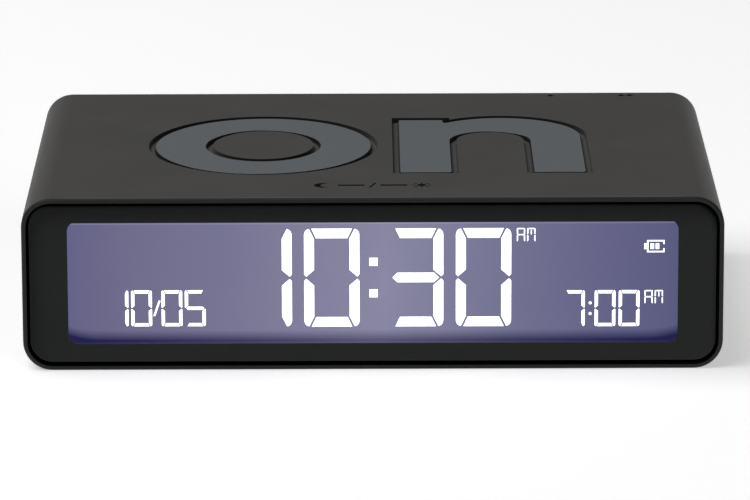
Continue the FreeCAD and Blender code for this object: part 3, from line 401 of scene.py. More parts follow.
def plastic(name, colour, lighter, roughness, grain=0.25, depth=0.008, gloss=0.45):
    """Moulded plastic: one colour with faint flow marks, and a spark-eroded grain."""
    finish = Finish(name, Specular_IOR_Level=gloss)
    place = finish.place()
    flow = finish.noise(place, 9.0, 3.0)
    texture = finish.noise(place, grain, 2.0)
    finish.set(Base_Color=finish.mix(flow, colour, lighter), Roughness=texture * 0.12 + roughness)
    finish.bump(texture, depth)
    return finish.material


print("plastics can be moulded")

# %% [markdown]
# The frame round the display is printed in black on a sheet behind the clear lens, and its ink is
# painted a mid grey, lighter than black, as painted light for the light that reaches it behind the
# lens. Along its top a black strip is painted as the painted shade of the lip, and round the sides
# and the foot a fine lighter line along its cut edge is a painted highlight.

# %% Print the mask round the display
MASK_CORNER = 3.1
MASK_SHADE = 0.27
SHADE_LINE = 0.05
MASK_HIGHLIGHT_WIDTH = 0.18


def window_mask():
    finish = Finish("black_mask", Roughness=0.55, Specular_IOR_Level=0.3)
    place = finish.place()
    across, up = finish.axes(place)[::2]
    half_width = mask.right - mask.across
    half_height = mask.top - mask.up
    # The ink is painted a mid grey, lighter than the black it is: painted light behind the lens.
    ink = finish.mix(finish.noise(place, 9.0, 3.0), shade(80, 82, 81), shade(83, 85, 84))
    edge = finish.depth_inside(across, up - mask.up, half_width, half_height, MASK_CORNER)
    # A fine lighter line along the cut edge: a painted highlight.
    ink = finish.mix(edge < MASK_HIGHLIGHT_WIDTH, ink, shade(88, 90, 89))
    # A black strip along the top: painted shade of the lip.
    shaded = finish.depth_inside(across, up - mask.up + MASK_SHADE, half_width, half_height, MASK_CORNER)
    finish.set(Base_Color=finish.mix(shaded < SHADE_LINE, ink, shade(3, 3, 3)))
    return finish.material


WINDOW_MASK = window_mask()
print(f"mask {mask.right - mask.left:.1f} x {mask.top - mask.bottom:.1f} mm")

# %% [markdown]
# The letters are a separate moulding in a cooler grey, pressed into their pockets. Only their flat
# faces get that grey. Their bevels and sides are painted dark as painted shade, which draws the
# letter's outline.

# %% Paint the faces of the letters
FACE_LEVEL = 0.02


def letter_face():
    finish = Finish("inlay", Specular_IOR_Level=0.45)
    place = finish.place()
    up = finish.axes(place)[2]
    flow = finish.noise(place, 9.0, 3.0)
    texture = finish.noise(place, 0.3, 2.0)
    painted = (up > word_on.top - FACE_LEVEL) | (up < word_off.bottom + FACE_LEVEL)
    face = finish.mix(flow, shade(107, 111, 115), shade(111, 115, 119))
    # Off the flat faces, the bevels and sides are painted near black: painted shade.
    finish.set(Base_Color=finish.mix(painted, shade(22, 22, 23), face), Roughness=texture * 0.12 + 0.42)
    finish.bump(texture, 0.004)
    return finish.material


LETTER_FACE = letter_face()
print("letters painted")

# %% [markdown]
# Screws, springs and cans are bright metal: the colour of a metal is its reflection, so Metallic is
# 1. Noise that is stretched along one axis looks like drawing marks. The circuit board is green
# lacquer over copper, and a brick pattern is a simple way to draw a field of tracks with breaks.

# %% Draw the metals and lacquer the board
STRETCH = (1.0, 12.0, 12.0)
TRACK = 0.16
TRACK_LENGTH = 5.2
TRACK_PITCH = 1.3


def metal(name, colour, darker, roughness):
    """Bright metal with fine drawing marks and a dull cast here and there."""
    finish = Finish(name, Metallic=1.0)
    place = finish.place()
    dull = finish.noise(place, 3.0, 3.0)
    stretched = finish.add("ShaderNodeVectorMath", {"operation": "MULTIPLY"}, {0: place, 1: STRETCH})
    marks = finish.noise(stretched, 1.2, 2.0)
    finish.set(Base_Color=finish.mix(dull, colour, darker), Roughness=marks * 0.15 + roughness)
    finish.bump(marks, 0.002)
    return finish.material


def circuit_board():
    """Green lacquer over copper: the tracks show through it as paler lines."""
    finish = Finish("board_green", Specular_IOR_Level=0.55)
    place = finish.place()
    across, up = finish.axes(place)[::2]
    flat = finish.add("ShaderNodeCombineXYZ", {}, {0: across, 1: up})
    sizes = {"Mortar Size": TRACK, "Brick Width": TRACK_LENGTH, "Row Height": TRACK_PITCH}
    tracks = finish.add("ShaderNodeTexBrick", {}, {"Vector": flat, "Scale": 1.0, **sizes}, 1)
    lacquer = finish.mix(finish.noise(place, 6.0), shade(20, 84, 50), shade(28, 96, 58))
    finish.set(Base_Color=finish.mix(tracks, lacquer, shade(64, 134, 84)), Roughness=0.42 - tracks * 0.08)
    finish.bump(tracks, 0.03)
    return finish.material


print("metals and board ready")

# %% [markdown]
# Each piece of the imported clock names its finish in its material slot. Here is one finish for each
# of those names, so that a piece finds its own by name.

# %% List the finishes
FINISHES = {
    "soft_shell": SOFT_SHELL,
    "inlay": LETTER_FACE,
    "black_mask": WINDOW_MASK,
    "black_plastic": plastic("black_plastic", shade(37, 37, 37), shade(42, 42, 41), 0.5),
    "white_plastic": plastic("white_plastic", shade(226, 226, 222), shade(234, 234, 230), 0.45),
    "contact_rubber": plastic("contact_rubber", shade(46, 46, 48), shade(58, 58, 60), 0.8),
    "chip_black": plastic("chip_black", shade(24, 24, 25), shade(34, 34, 34), 0.35),
    "key": plastic("key", shade(58, 58, 57), shade(63, 63, 62), 0.55),
    "wire_red": plastic("wire_red", shade(176, 34, 30), shade(190, 44, 38), 0.4),
    "wire_black": plastic("wire_black", shade(28, 28, 28), shade(36, 36, 36), 0.4),
    "ribbon": plastic("ribbon", shade(196, 196, 190), shade(210, 210, 204), 0.5),
    "resistor": plastic("resistor", shade(24, 24, 26), shade(60, 60, 62), 0.4),
    "ceramic": plastic("ceramic", shade(214, 210, 200), shade(226, 222, 212), 0.35),
    "lamp": plastic("lamp", shade(226, 214, 140), shade(236, 228, 170), 0.3),
    "board_green": circuit_board(),
    "steel": metal("steel", shade(186, 187, 190), shade(150, 151, 154), 0.28),
    "aluminium_can": metal("aluminium_can", shade(214, 216, 220), shade(190, 192, 196), 0.3),
    "copper_foil": metal("copper_foil", shade(206, 128, 90), shade(176, 104, 72), 0.35),
    "brass": metal("brass", shade(206, 176, 104), shade(176, 148, 84), 0.3),
}
print(f"{len(FINISHES)} finishes")

# %% [markdown]
# The display glows from behind through a violet film. It is brightest in the middle, where the
# lamps are, and falls off to a deep violet at the ends and in a dark band along its lower edge. A
# glow is the same from every side, so it is painted by place and given to the emission.

# %% Light the display film
FIELD_STOPS = (
    (0.00, shade(100, 98, 133)),
    (0.10, shade(111, 107, 138)),
    (0.27, shade(120, 117, 146)),
    (0.52, shade(137, 135, 161)),
    (0.74, shade(112, 111, 142)),
    (0.88, shade(100, 99, 134)),
    (1.00, shade(90, 89, 125)),
)
BAND = shade(36, 34, 77)
BAND_TOP = 2.10
BAND_DARKEST = 0.45
BAND_FOOT = 0.27
BAND_END = 41.0
BAND_RISE = 0.035
BAND_MIDDLE = 0.66
BAND_SPREAD = 0.0088
TOP_SHADE = 0.70
TOP_HIGHLIGHT = 0.95
HAZE_GRAIN = 16.0


def display_field():
    finish = Finish("display_field", Roughness=0.5, Specular_IOR_Level=0.0, Emission_Strength=1.0)
    place = finish.place()
    across, up = finish.axes(place)[::2]
    share = finish.add("ShaderNodeMapRange", {}, {"Value": across, 1: film.left, 2: film.right})
    field = finish.add("ShaderNodeValToRGB", {"stops": FIELD_STOPS}, {0: share})
    unevenness = finish.noise(place, HAZE_GRAIN, 2.0)
    field = finish.mix(unevenness.rise(0.35, 0.75) * 0.10, field, shade(94, 99, 140))
    past_end = (abs(across) - BAND_END) | 0.0
    above = up - film.bottom - past_end * past_end * BAND_RISE
    span = {"Value": above, 1: BAND_TOP, 2: BAND_DARKEST}
    band = finish.add("ShaderNodeMapRange", {}, span) * (abs(across) * BAND_SPREAD + BAND_MIDDLE)
    field = finish.mix(band * (1.0 - (up < film.bottom + BAND_FOOT) * 0.10), field, BAND)
    # Along the top of the film a fine line is painted lighter, a painted highlight, and above it the film is
    # painted dark as the painted shade of the mask's edge.
    field = finish.mix((up > film.top - TOP_HIGHLIGHT) * 0.07, field, (1, 1, 1, 1))
    field = finish.mix(up > film.top - TOP_SHADE, field, shade(34, 34, 42))
    finish.set(Base_Color=finish.mix(0.95, field, (0, 0, 0, 1)), Emission_Color=field)
    return finish.material


print("display glows")

# %% [markdown]
# The lens and the glass of the display are clear panes. Light from a lamp goes straight through a
# flat pane, so for the rays that look for a lamp the pane is simply transparent. The lens bends no
# light either (its index is 1), because a thin flat pane hardly moves what is behind it, and the few
# rays that a higher index mirrors would show as bright specks on the dark mask.

# %% Clear the panes and mix the inks


def clear_pane(name, ior, tint):
    """Clear plastic or glass. Lamps shine straight through it."""
    finish = Finish(name, Roughness=0.0, IOR=ior, Transmission_Weight=1.0)
    place = finish.place()
    wave = finish.noise(place, 30.0, 1.0)
    finish.set(Base_Color=finish.mix(wave, tint, (1, 1, 1, 1)))
    paths = finish.add("ShaderNodeLightPath").socket.node.outputs
    open_way = finish.add("ShaderNodeBsdfTransparent")
    glass = Wire(finish, finish.shader.outputs[0])
    lamp_ray = Wire(finish, paths["Is Shadow Ray"])
    pane = finish.add("ShaderNodeMixShader", {}, {0: lamp_ray, 1: glass, 2: open_way})
    finish.show(pane)
    return finish.material


def lit_mark():
    finish = Finish("lit_mark", Roughness=0.4, Emission_Strength=1.0)
    grain = finish.noise(finish.place(), 2.0, 1.0)
    white = finish.mix(grain, (1, 1, 1, 1), (0.97, 0.97, 1.0, 1))
    finish.set(Base_Color=white, Emission_Color=white)
    return finish.material


FINISHES["clear_lens"] = clear_pane("clear_lens", 1.0, (0.97, 0.98, 1.0, 1))
FINISHES["display_glass"] = clear_pane("display_glass", 1.3, (0.93, 0.97, 0.95, 1))
FINISHES["display_film"] = display_field()
LIT_MARK = lit_mark()
DARK_INK = plastic("dark_ink", shade(10, 10, 10), shade(14, 14, 14), 0.8, gloss=0.1)
PALE_INK = plastic("pale_ink", shade(168, 170, 170), shade(178, 180, 180), 0.5)
print("panes clear, two inks mixed")

# %% [markdown]
# Each AAA cell is one node, so its jacket, its bare ends and its printed band are told apart by
# place: the length of the cell lies along the depth of the clock.

# %% Wrap the cells
BARE_FRONT = 1.4
BARE_BACK = 1.2
BAND_LENGTH = 14.0
BAND_RING = 0.35
BAND_RING_FROM_BACK = 14.6


def cell_jacket():
    finish = Finish("cell_jacket", Specular_IOR_Level=0.5)
    cell = Box("battery_cell_1")
    place = finish.place()
    along = finish.axes(place)[1]
    scuffs = finish.noise(place, 1.5, 3.0)
    bare = (along < cell.front + BARE_FRONT) | (along > cell.back - BARE_BACK)
    band = along > cell.back - BAND_LENGTH
    jacket = finish.mix(band, shade(60, 62, 66), shade(176, 120, 62))
    ring = abs(along - (cell.back - BAND_RING_FROM_BACK)) < BAND_RING
    jacket = finish.mix(ring, jacket, shade(205, 205, 205))
    finish.set(Base_Color=finish.mix(bare, jacket, shade(150, 150, 153)), Metallic=bare)
    finish.set(Roughness=scuffs * 0.2 + 0.28)
    return finish.material


FINISHES["cell_jacket"] = cell_jacket()
for name, node in nodes.items():
    slot_name = node.data.materials[0].name.split(".")[0]
    node.data.materials[0] = FINISHES[slot_name]
print("every node has its finish")

# %% [markdown]
# Everything that is printed or lit is a very thin plate on a flat face of the clock. It is drawn
# flat, in millimetres, as a closed curve that Blender fills. A curve inside another one is a hole.
# A Surface says where a face is and which way is right and up for someone who reads it, and it lays
# the drawn plate there.

# %% Lay thin plates on a face
INK = 0.01


class Surface:
    """A flat face that carries prints: a point on it, and its right and up as it is read."""

    def __init__(self, origin, right, up):
        self.origin = Vector(origin)
        self.right = Vector(right)
        self.up = Vector(up)
        self.out = self.right.cross(self.up)

    def place(self, across, along):
        """The matrix that takes a plate drawn flat in millimetres to its place in metres."""
        spot = self.origin + self.right * across + self.up * along
        turned = Matrix((self.right, self.up, self.out)).transposed().to_4x4()
        return Matrix.Scale(MM, 4) @ Matrix.Translation(spot) @ turned


DISPLAY = Surface((0, film.front, 0), (1, 0, 0), (0, 0, 1))
TOP = Surface((0, 0, sleeve.top), (1, 0, 0), (0, 1, 0))
UNDERSIDE = Surface((0, 0, sleeve.bottom), (-1, 0, 0), (0, 1, 0))


def link(name, data):
    thing = bpy.data.objects.new(name, data)
    bpy.context.scene.collection.objects.link(thing)
    return thing


def plain_mesh(thing):
    """The mesh that a curve or the modifiers make, as a mesh object of the same name."""
    depsgraph = bpy.context.evaluated_depsgraph_get()
    mesh = bpy.data.meshes.new_from_object(thing.evaluated_get(depsgraph))
    name = thing.name
    bpy.data.objects.remove(thing)
    return link(name, mesh)


def draw(name, outlines, thick, material):
    """A flat plate, drawn in millimetres about the level of its middle."""
    curve = bpy.data.curves.new(name, "CURVE")
    curve.dimensions = "2D"
    curve.fill_mode = "BOTH"
    curve.extrude = thick / 2
    for outline in outlines:
        line = curve.splines.new("POLY")
        line.points.add(len(outline) - 1)
        for point, (across, along) in zip(line.points, outline):
            point.co = (across, along, 0, 1)
        line.use_cyclic_u = True
    plate = plain_mesh(link(name, curve))
    plate.data.materials.clear()
    plate.data.materials.append(material)
    close_seams(plate.data)
    return plate


def close_seams(mesh):
    shape = bmesh.new()
    shape.from_mesh(mesh)
    bmesh.ops.remove_doubles(shape, verts=shape.verts, dist=MM)
    bmesh.ops.recalc_face_normals(shape, faces=shape.faces)
    shape.to_mesh(mesh)
    shape.free()


def stick(plate, surface, body, across=0.0, along=0.0):
    """Lays a plate on its face and makes it part of a body of the clock."""
    plate.data.transform(surface.place(across, along))
    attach(plate, body)


print("prints can be drawn and laid")

# %% [markdown]
# A figure on such a display has seven bars, but only three shapes: a level bar at its top and
# bottom, an upright bar at its sides and a pointed bar across its middle. The others are the same
# bars turned over. The letter M has one more, a short drop from its top. So four bars are drawn
# once for each size of figure, and a Geometry Nodes tree sets them on points, one point for each
# bar that is lit. The shape of a bar's ends is given in strokes, so it is alike at every size.

# %% Draw the bars of a figure
MARK_THICK = 0.03
ARC_STEPS = 6
SLOPE = 0.47
TIP = 0.22
SHOULDER = 0.67
PEAK_INSET = 0.04
SHOULDER_FOOT = 1.05
INNER_TIP = 0.88
MIDDLE_TIP = 0.43
DROP_HALF = 0.42


class Figure:
    """The sizes of one kind of figure, in millimetres."""

    def __init__(self, width, height, stroke, gap):
        self.width = width
        self.height = height
        self.stroke = stroke
        self.gap = gap

    def level_bar(self):
        """The lower bar, seen from the middle of the figure."""
        half = self.width / 2 - self.stroke / 2 - self.gap
        low = -self.height / 2
        run = SLOPE * self.stroke
        return [(-half, low), (half, low), (half - run, low + self.stroke), (-half + run, low + self.stroke)]

    def upright_bar(self):
        """The upper right bar: round outside at the top, and pointed at the middle of the figure."""
        outer = self.width / 2
        inner = outer - self.stroke
        top = self.height / 2
        peak = (inner + outer) / 2
        drop = SHOULDER * self.stroke
        half_gap = self.gap / 2
        arc = []
        for step in range(ARC_STEPS + 1):
            angle = math.radians(90 * step / ARC_STEPS)
            across = peak + (outer - peak) * math.sin(angle)
            along = top - drop + (drop - PEAK_INSET * self.stroke) * math.cos(angle)
            arc.append((across, along))
        tip = [
            (outer, half_gap + TIP * self.stroke),
            (outer - TIP * self.stroke, half_gap),
            (inner, half_gap + (1 - TIP) * self.stroke * INNER_TIP),
        ]
        return arc + tip + [(inner, top - SHOULDER_FOOT * self.stroke)]

    def middle_bar(self):
        tip = self.width / 2 - MIDDLE_TIP * self.stroke
        half = self.stroke / 2
        right = [(tip - half, -half), (tip, 0), (tip - half, half)]
        return right + [(-across, along) for across, along in reversed(right)]

    def drop_bar(self):
        half = self.stroke * DROP_HALF
        top = self.height / 2 - self.stroke - self.gap
        return [(-half, top), (-half, half), (0, 0), (half, half), (half, top)]

    def bars(self):
        return [self.level_bar(), self.upright_bar(), self.middle_bar(), self.drop_bar()]


print("figure bars drawn by rule")

# %% [markdown]
# The tree takes the bars as objects. Each point carries two attributes: which bar stands there, and
# how it is turned over. A half turn about the level axis swaps top and bottom, and one about the
# upright axis swaps left and right, and neither turns the plate inside out.

# %% Build the tree that sets bars on points
BAR_KINDS = ("level", "upright", "middle", "drop")


def attribute(tree, name, kind):
    reader = tree.nodes.new("GeometryNodeInputNamedAttribute")
    reader.data_type = kind
    reader.inputs["Name"].default_value = name
    return reader.outputs["Attribute"]


def paint_and_end(tree, start, instances):
    """Every tree here ends by making its copies real and painting them."""
    real = tree.nodes.new("GeometryNodeRealizeInstances")
    painted = tree.nodes.new("GeometryNodeSetMaterial")
    end = tree.nodes.new("NodeGroupOutput")
    tree.links.new(instances, real.inputs["Geometry"])
    tree.links.new(real.outputs["Geometry"], painted.inputs["Geometry"])
    tree.links.new(start.outputs["Material"], painted.inputs["Material"])
    tree.links.new(painted.outputs["Geometry"], end.inputs["Result"])


def new_tree(name, **inputs):
    """An empty tree with named inputs, a result, and its first node."""
    tree = bpy.data.node_groups.new(name, "GeometryNodeTree")
    for title, kind in inputs.items():
        tree.interface.new_socket(title.replace("_", " "), in_out="INPUT", socket_type=f"NodeSocket{kind}")
    tree.interface.new_socket("Result", in_out="OUTPUT", socket_type="NodeSocketGeometry")
    return tree, tree.nodes.new("NodeGroupInput")


def figure_tree():
    bar_inputs = {f"{kind}_bar": "Object" for kind in BAR_KINDS}
    tree, start = new_tree("set_bars", Points="Geometry", **bar_inputs, Material="Material")
    joined = tree.nodes.new("GeometryNodeJoinGeometry")
    which = attribute(tree, "bar", "INT")
    turned = attribute(tree, "turn", "FLOAT_VECTOR")
    for number, kind in enumerate(BAR_KINDS):
        bar = tree.nodes.new("GeometryNodeObjectInfo")
        tree.links.new(start.outputs[f"{kind} bar"], bar.inputs["Object"])
        chosen = tree.nodes.new("FunctionNodeCompare")
        chosen.data_type = "INT"
        chosen.operation = "EQUAL"
        chosen.inputs[3].default_value = number
        tree.links.new(which, chosen.inputs[2])
        placed = tree.nodes.new("GeometryNodeInstanceOnPoints")
        tree.links.new(start.outputs["Points"], placed.inputs["Points"])
        tree.links.new(chosen.outputs["Result"], placed.inputs["Selection"])
        tree.links.new(bar.outputs["Geometry"], placed.inputs["Instance"])
        tree.links.new(turned, placed.inputs["Rotation"])
        tree.links.new(placed.outputs["Instances"], joined.inputs["Geometry"])
    paint_and_end(tree, start, joined.outputs["Geometry"])
    return tree


def run_tree(thing, tree, **inputs):
    """Runs a tree on an object. A modifier's inputs go by identifier, which the interface knows."""
    modifier = thing.modifiers.new("tree", "NODES")
    modifier.node_group = tree
    for title, value in inputs.items():
        socket = tree.interface.items_tree[title.replace("_", " ")]
        modifier[socket.identifier] = value
    return plain_mesh(thing)


SET_BARS = figure_tree()
print("bar tree ready")

# %% [markdown]
# A figure is now a list of the bars that are lit. Each bar is one of the four shapes, turned over or
# not. Only the characters that the display shows are listed.

# %% Say which bars each character lights
OVER_LEVEL = (math.pi, 0, 0)
OVER_UPRIGHT = (0, math.pi, 0)
OVER_BOTH = (0, 0, math.pi)
BARS = {
    "bottom": ("level", (0, 0, 0)),
    "top": ("level", OVER_LEVEL),
    "upper right": ("upright", (0, 0, 0)),
    "lower right": ("upright", OVER_LEVEL),
    "upper left": ("upright", OVER_UPRIGHT),
    "lower left": ("upright", OVER_BOTH),
    "middle": ("middle", (0, 0, 0)),
    "drop": ("drop", (0, 0, 0)),
}
RIGHT_SIDE = ["upper right", "lower right"]
LEFT_SIDE = ["upper left", "lower left"]
LIT = {
    "0": ["top", "bottom"] + LEFT_SIDE + RIGHT_SIDE,
    "1": RIGHT_SIDE,
    "3": ["top", "middle", "bottom"] + RIGHT_SIDE,
    "5": ["top", "middle", "bottom", "upper left", "lower right"],
    "7": ["top"] + RIGHT_SIDE,
    "A": ["top", "middle"] + LEFT_SIDE + RIGHT_SIDE,
    "M": ["top", "drop"] + LEFT_SIDE + RIGHT_SIDE,
}


def write_figures(name, figure, text, right_edges, centre_height):
    """Sets each character of the text with its right edge where it is said, on the display."""
    bars = {}
    for kind, outline in zip(BAR_KINDS, figure.bars()):
        bars[kind] = draw(f"{name}_{kind}", [outline], MARK_THICK, LIT_MARK)
    points = []
    kinds = []
    turns = []
    for character, right_edge in zip(text, right_edges):
        for bar in LIT[character]:
            kind, turned = BARS[bar]
            points.append((right_edge - figure.width / 2, centre_height, 0))
            kinds.append(BAR_KINDS.index(kind))
            turns.extend(turned)
    mesh = bpy.data.meshes.new(name)
    mesh.from_pydata(points, [], [])
    mesh.attributes.new("bar", "INT", "POINT").data.foreach_set("value", kinds)
    mesh.attributes.new("turn", "FLOAT_VECTOR", "POINT").data.foreach_set("vector", turns)
    bar_inputs = {f"{kind}_bar": bar for kind, bar in bars.items()}
    figures = run_tree(link(name, mesh), SET_BARS, **bar_inputs, Material=LIT_MARK)
    for bar in bars.values():
        bpy.data.objects.remove(bar)
    stick(figures, DISPLAY, "clock")


print(f"{len(LIT)} characters known")

# %% [markdown]
# Each line of figures has its right edges, measured from the middle of the clock, and the height of
# its middle over the floor, all in millimetres.

# %% Write the figures
BIG = Figure(8.3, 15.2, 1.50, 0.34)
SMALL = Figure(3.13, 5.6, 0.50, 0.15)
TINY = Figure(1.24, 2.07, 0.19, 0.09)
TIME_HEIGHT = 13.72
TIME_EDGES = (-12.14, -2.00, 10.57, 20.74)
TIME_LETTER_HEIGHT = 20.29
TIME_LETTER_EDGES = (22.80, 24.34)
DATE_HEIGHT = 9.05
DATE_EDGES = (-36.69, -33.15, -28.60, -25.10)
ALARM_HEIGHT = 8.85
ALARM_EDGES = (31.80, 36.40, 40.01)
ALARM_LETTER_HEIGHT = 10.61
ALARM_LETTER_EDGES = (41.98, 43.52)
write_figures("time_figures", BIG, "1030", TIME_EDGES, TIME_HEIGHT)
write_figures("time_letters", TINY, "AM", TIME_LETTER_EDGES, TIME_LETTER_HEIGHT)
write_figures("date_figures", SMALL, "1005", DATE_EDGES, DATE_HEIGHT)
write_figures("alarm_figures", SMALL, "700", ALARM_EDGES, ALARM_HEIGHT)
write_figures("alarm_letters", TINY, "AM", ALARM_LETTER_EDGES, ALARM_LETTER_HEIGHT)
print("five lines of figures on the display")

# %% [markdown]
# The other marks of the display are a square colon in the time, a round one in the alarm time, a
# slash in the date and a sign for the charge of the cells. Each is a few closed outlines.

# %% Draw the other marks of the display
TIME_COLON = {"across": 0.10, "apart": 4.88, "size": 1.25}
ALARM_COLON = {"across": 32.60, "apart": 1.66, "size": 0.46}
DATE_SLASH_FOOT = (-32.84, 7.85)
DATE_SLASH_HEAD = (-32.00, 10.25)
DATE_SLASH_THICK = 0.30
CHARGE_SIGN = {"left": 40.63, "low": 17.49, "right": 43.69, "high": 19.39}


def block(left, low, right, high):
    return [(left, low), (right, low), (right, high), (left, high)]


def disc(across, along, radius, steps=20):
    angles = [math.tau * step / steps for step in range(steps)]
    return [(across + radius * math.cos(angle), along + radius * math.sin(angle)) for angle in angles]


def square_colon(across, along, apart, size):
    half = size / 2
    heights = (along - apart / 2, along + apart / 2)
    return [block(across - half, height - half, across + half, height + half) for height in heights]


def round_colon(across, along, apart, size):
    return [disc(across, along - apart / 2, size / 2), disc(across, along + apart / 2, size / 2)]


def slash(low, high, thick):
    """A leaning bar between two points, thick as it is measured along the level."""
    half = thick / 2
    foot = [(low[0] - half, low[1]), (low[0] + half, low[1])]
    return foot + [(high[0] + half, high[1]), (high[0] - half, high[1])]


def charge_sign(left, low, right, high):
    """A lying cell with its nub to the left, a wall open at the right, and two bars inside."""
    wall = 0.22
    nub = 0.42
    middle = (low + high) / 2
    body = left + nub
    opening = 0.32
    case = [
        (right, middle + opening), (right, high), (body, high), (body, low), (right, low),
        (right, middle - opening), (right - wall, middle - opening), (right - wall, low + wall),
        (body + wall, low + wall), (body + wall, high - wall), (right - wall, high - wall),
        (right - wall, middle + opening),
    ]
    bar = 0.56
    bar_half = 0.44
    nub_half = 0.45
    first = body + 2.3 * wall
    starts = (first, first + bar + wall)
    inner = [block(start, middle - bar_half, start + bar, middle + bar_half) for start in starts]
    return [case, block(left, middle - nub_half, body, middle + nub_half)] + inner


def show(name, outlines):
    stick(draw(name, outlines, MARK_THICK, LIT_MARK), DISPLAY, "clock")


show("time_colon", square_colon(along=TIME_HEIGHT, **TIME_COLON))
show("alarm_colon", round_colon(along=ALARM_HEIGHT, **ALARM_COLON))
show("date_slash", [slash(DATE_SLASH_FOOT, DATE_SLASH_HEAD, DATE_SLASH_THICK)])
show("charge_mark", charge_sign(**CHARGE_SIGN))
print("colons, slash and charge sign")

# %% [markdown]
# A row of small signs is printed near the front edge of the top and of the underside, for what a
# touch there does: a moon for a short sleep and a sun for the light, with a line each. The rays of
# the sun are one ray, set round it by a tree: copy number n is turned by n steps.

# %% Print the signs of the touch field


def ring_tree():
    tree, start = new_tree("ring_of_marks", Mark="Object", Count="Int", Material="Material")
    mark = tree.nodes.new("GeometryNodeObjectInfo")
    tree.links.new(start.outputs["Mark"], mark.inputs["Object"])
    points = tree.nodes.new("GeometryNodePoints")
    tree.links.new(start.outputs["Count"], points.inputs["Count"])
    number = tree.nodes.new("GeometryNodeInputIndex")
    share = tree.nodes.new("ShaderNodeMath")
    share.operation = "DIVIDE"
    tree.links.new(number.outputs[0], share.inputs[0])
    tree.links.new(start.outputs["Count"], share.inputs[1])
    angle = tree.nodes.new("ShaderNodeMath")
    angle.operation = "MULTIPLY"
    angle.inputs[1].default_value = math.tau
    tree.links.new(share.outputs[0], angle.inputs[0])
    turned = tree.nodes.new("ShaderNodeCombineXYZ")
    tree.links.new(angle.outputs[0], turned.inputs["Z"])
    placed = tree.nodes.new("GeometryNodeInstanceOnPoints")
    tree.links.new(points.outputs[0], placed.inputs["Points"])
    tree.links.new(mark.outputs["Geometry"], placed.inputs["Instance"])
    tree.links.new(turned.outputs[0], placed.inputs["Rotation"])
    paint_and_end(tree, start, placed.outputs["Instances"])
    return tree


RING = ring_tree()


def ring_of(name, outline, count, thick, material):
    """Copies of one outline, which stands off the centre, all the way round it."""
    mark = draw(f"{name}_one", [outline], thick, material)
    seed = link(name, bpy.data.meshes.new(name))
    ring = run_tree(seed, RING, Mark=mark, Count=count, Material=material)
    bpy.data.objects.remove(mark)
    return ring


def crescent(across, along, radius, steps=14):
    """A moon: most of a circle, and a smaller arc back between its horns."""
    horn = 55
    outer = []
    inner = []
    for step in range(steps + 1):
        angle = math.radians(horn + (360 - 2 * horn) * step / steps)
        outer.append((across + radius * math.cos(angle), along + radius * math.sin(angle)))
    shift = radius * 0.50
    hollow = radius * 0.82
    reach = math.degrees(math.asin(radius * math.sin(math.radians(horn)) / hollow))
    for step in range(1, steps):
        angle = math.radians(-reach - (360 - 2 * reach) * step / steps)
        inner.append((across + shift + hollow * math.cos(angle), along + hollow * math.sin(angle)))
    return outer + inner


LABEL_ALONG = -26.85
LABEL_REACH = 7.4
SIGN = 1.4
LINE_START = 1.2
LINE_END = 5.2
LINE_HALF = 0.38
SLASH_LEAN = 0.45
SLASH_THICK = 0.34
SUN_DISC = 0.48
RAYS = 8
RAY_START = 0.66
RAY_END = 1.08
RAY_HALF = 0.14


def touch_signs(name, surface):
    lines = [block(-LINE_END, -LINE_HALF, -LINE_START, LINE_HALF)]
    lines.append(block(LINE_START, -LINE_HALF, LINE_END, LINE_HALF))
    parts = lines + [slash((-SLASH_LEAN, -SIGN), (SLASH_LEAN, SIGN), SLASH_THICK)]
    parts += [crescent(-LABEL_REACH, 0, SIGN), disc(LABEL_REACH, 0, SIGN * SUN_DISC)]
    stick(draw(f"{name}_signs", parts, 2 * INK, DARK_INK), surface, "clock", 0, LABEL_ALONG)
    ray = block(SIGN * RAY_START, -RAY_HALF, SIGN * RAY_END, RAY_HALF)
    rays = ring_of(f"{name}_rays", ray, RAYS, 2 * INK, DARK_INK)
    stick(rays, surface, "clock", LABEL_REACH, LABEL_ALONG)


touch_signs("top", TOP)
touch_signs("underside", UNDERSIDE)
print(f"moon and sun, {RAYS} rays, on the top and the underside")

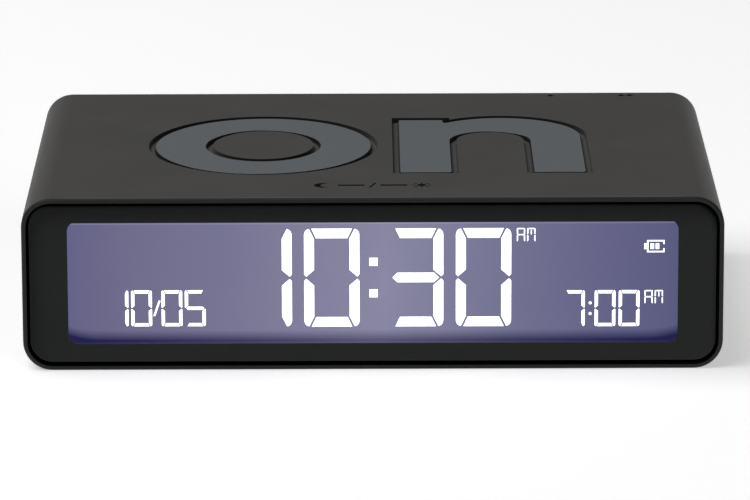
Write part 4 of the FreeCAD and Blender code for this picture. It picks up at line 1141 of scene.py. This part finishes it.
# %% [markdown]
# Each of the four rear keys has its sign on its cap, and again, smaller, on the nearest edge of the
# sleeve, where it can be read from above. One arrow sets the hours, two set the minutes, the clock
# face is for the time and the bell for the alarm.

# %% Print the signs of the keys


def arrow(across, along, size):
    half = size / 2
    return [(across - half, along - half), (across + half, along - half), (across, along + half)]


def one_arrow(size):
    return [arrow(0, 0, size)]


def two_arrows(size):
    step = size * 0.52
    return [arrow(-step, 0, size), arrow(step, 0, size)]


def clock_face(size):
    """A ring with two hands, one to the right and one up."""
    radius = size * 0.62
    half_line = size * 0.065
    reach = radius * 0.62
    hands = [
        (-half_line, -half_line), (reach, -half_line), (reach, half_line),
        (half_line, half_line), (half_line, reach), (-half_line, reach),
    ]
    return [disc(0, 0, radius, 32), disc(0, 0, radius - 2 * half_line, 32), hands]


def bell(size, steps=10):
    """A dome on a wide skirt, with a clapper below and a knob on top."""
    radius = size * 0.36
    rim = radius * 1.45
    foot = -radius * 0.9
    angles = [math.radians(180 * step / steps) for step in range(steps + 1)]
    dome = [(radius * math.cos(angle), radius * (0.35 + math.sin(angle))) for angle in angles]
    clapper = disc(0, -radius * 1.25, radius * 0.26, 12)
    knob = disc(0, radius * 1.55, radius * 0.2, 12)
    return [dome + [(-rim, foot), (rim, foot)], clapper, knob]


KEY_SIGN = 1.9
EDGE_SIGN = 1.3
EDGE_SIGN_INSET = 2.1
KEY_SIGNS = {
    "key_hours": (one_arrow, TOP),
    "key_minutes": (two_arrows, TOP),
    "key_clock": (clock_face, UNDERSIDE),
    "key_alarm": (bell, UNDERSIDE),
}
for key_name, (sign, edge_face) in KEY_SIGNS.items():
    key = Box(key_name)
    cap_face = Surface((key.across, key.back, key.up), (-1, 0, 0), (0, 0, 1))
    stick(draw(f"{key_name}_sign", sign(KEY_SIGN), 2 * INK, PALE_INK), cap_face, key_name)
    edge_sign = draw(f"{key_name}_edge_sign", sign(EDGE_SIGN), 2 * INK, DARK_INK)
    across = key.across * edge_face.right.x
    stick(edge_sign, edge_face, "clock", across, sleeve.back - EDGE_SIGN_INSET)
print(f"{len(KEY_SIGNS)} keys have their signs")
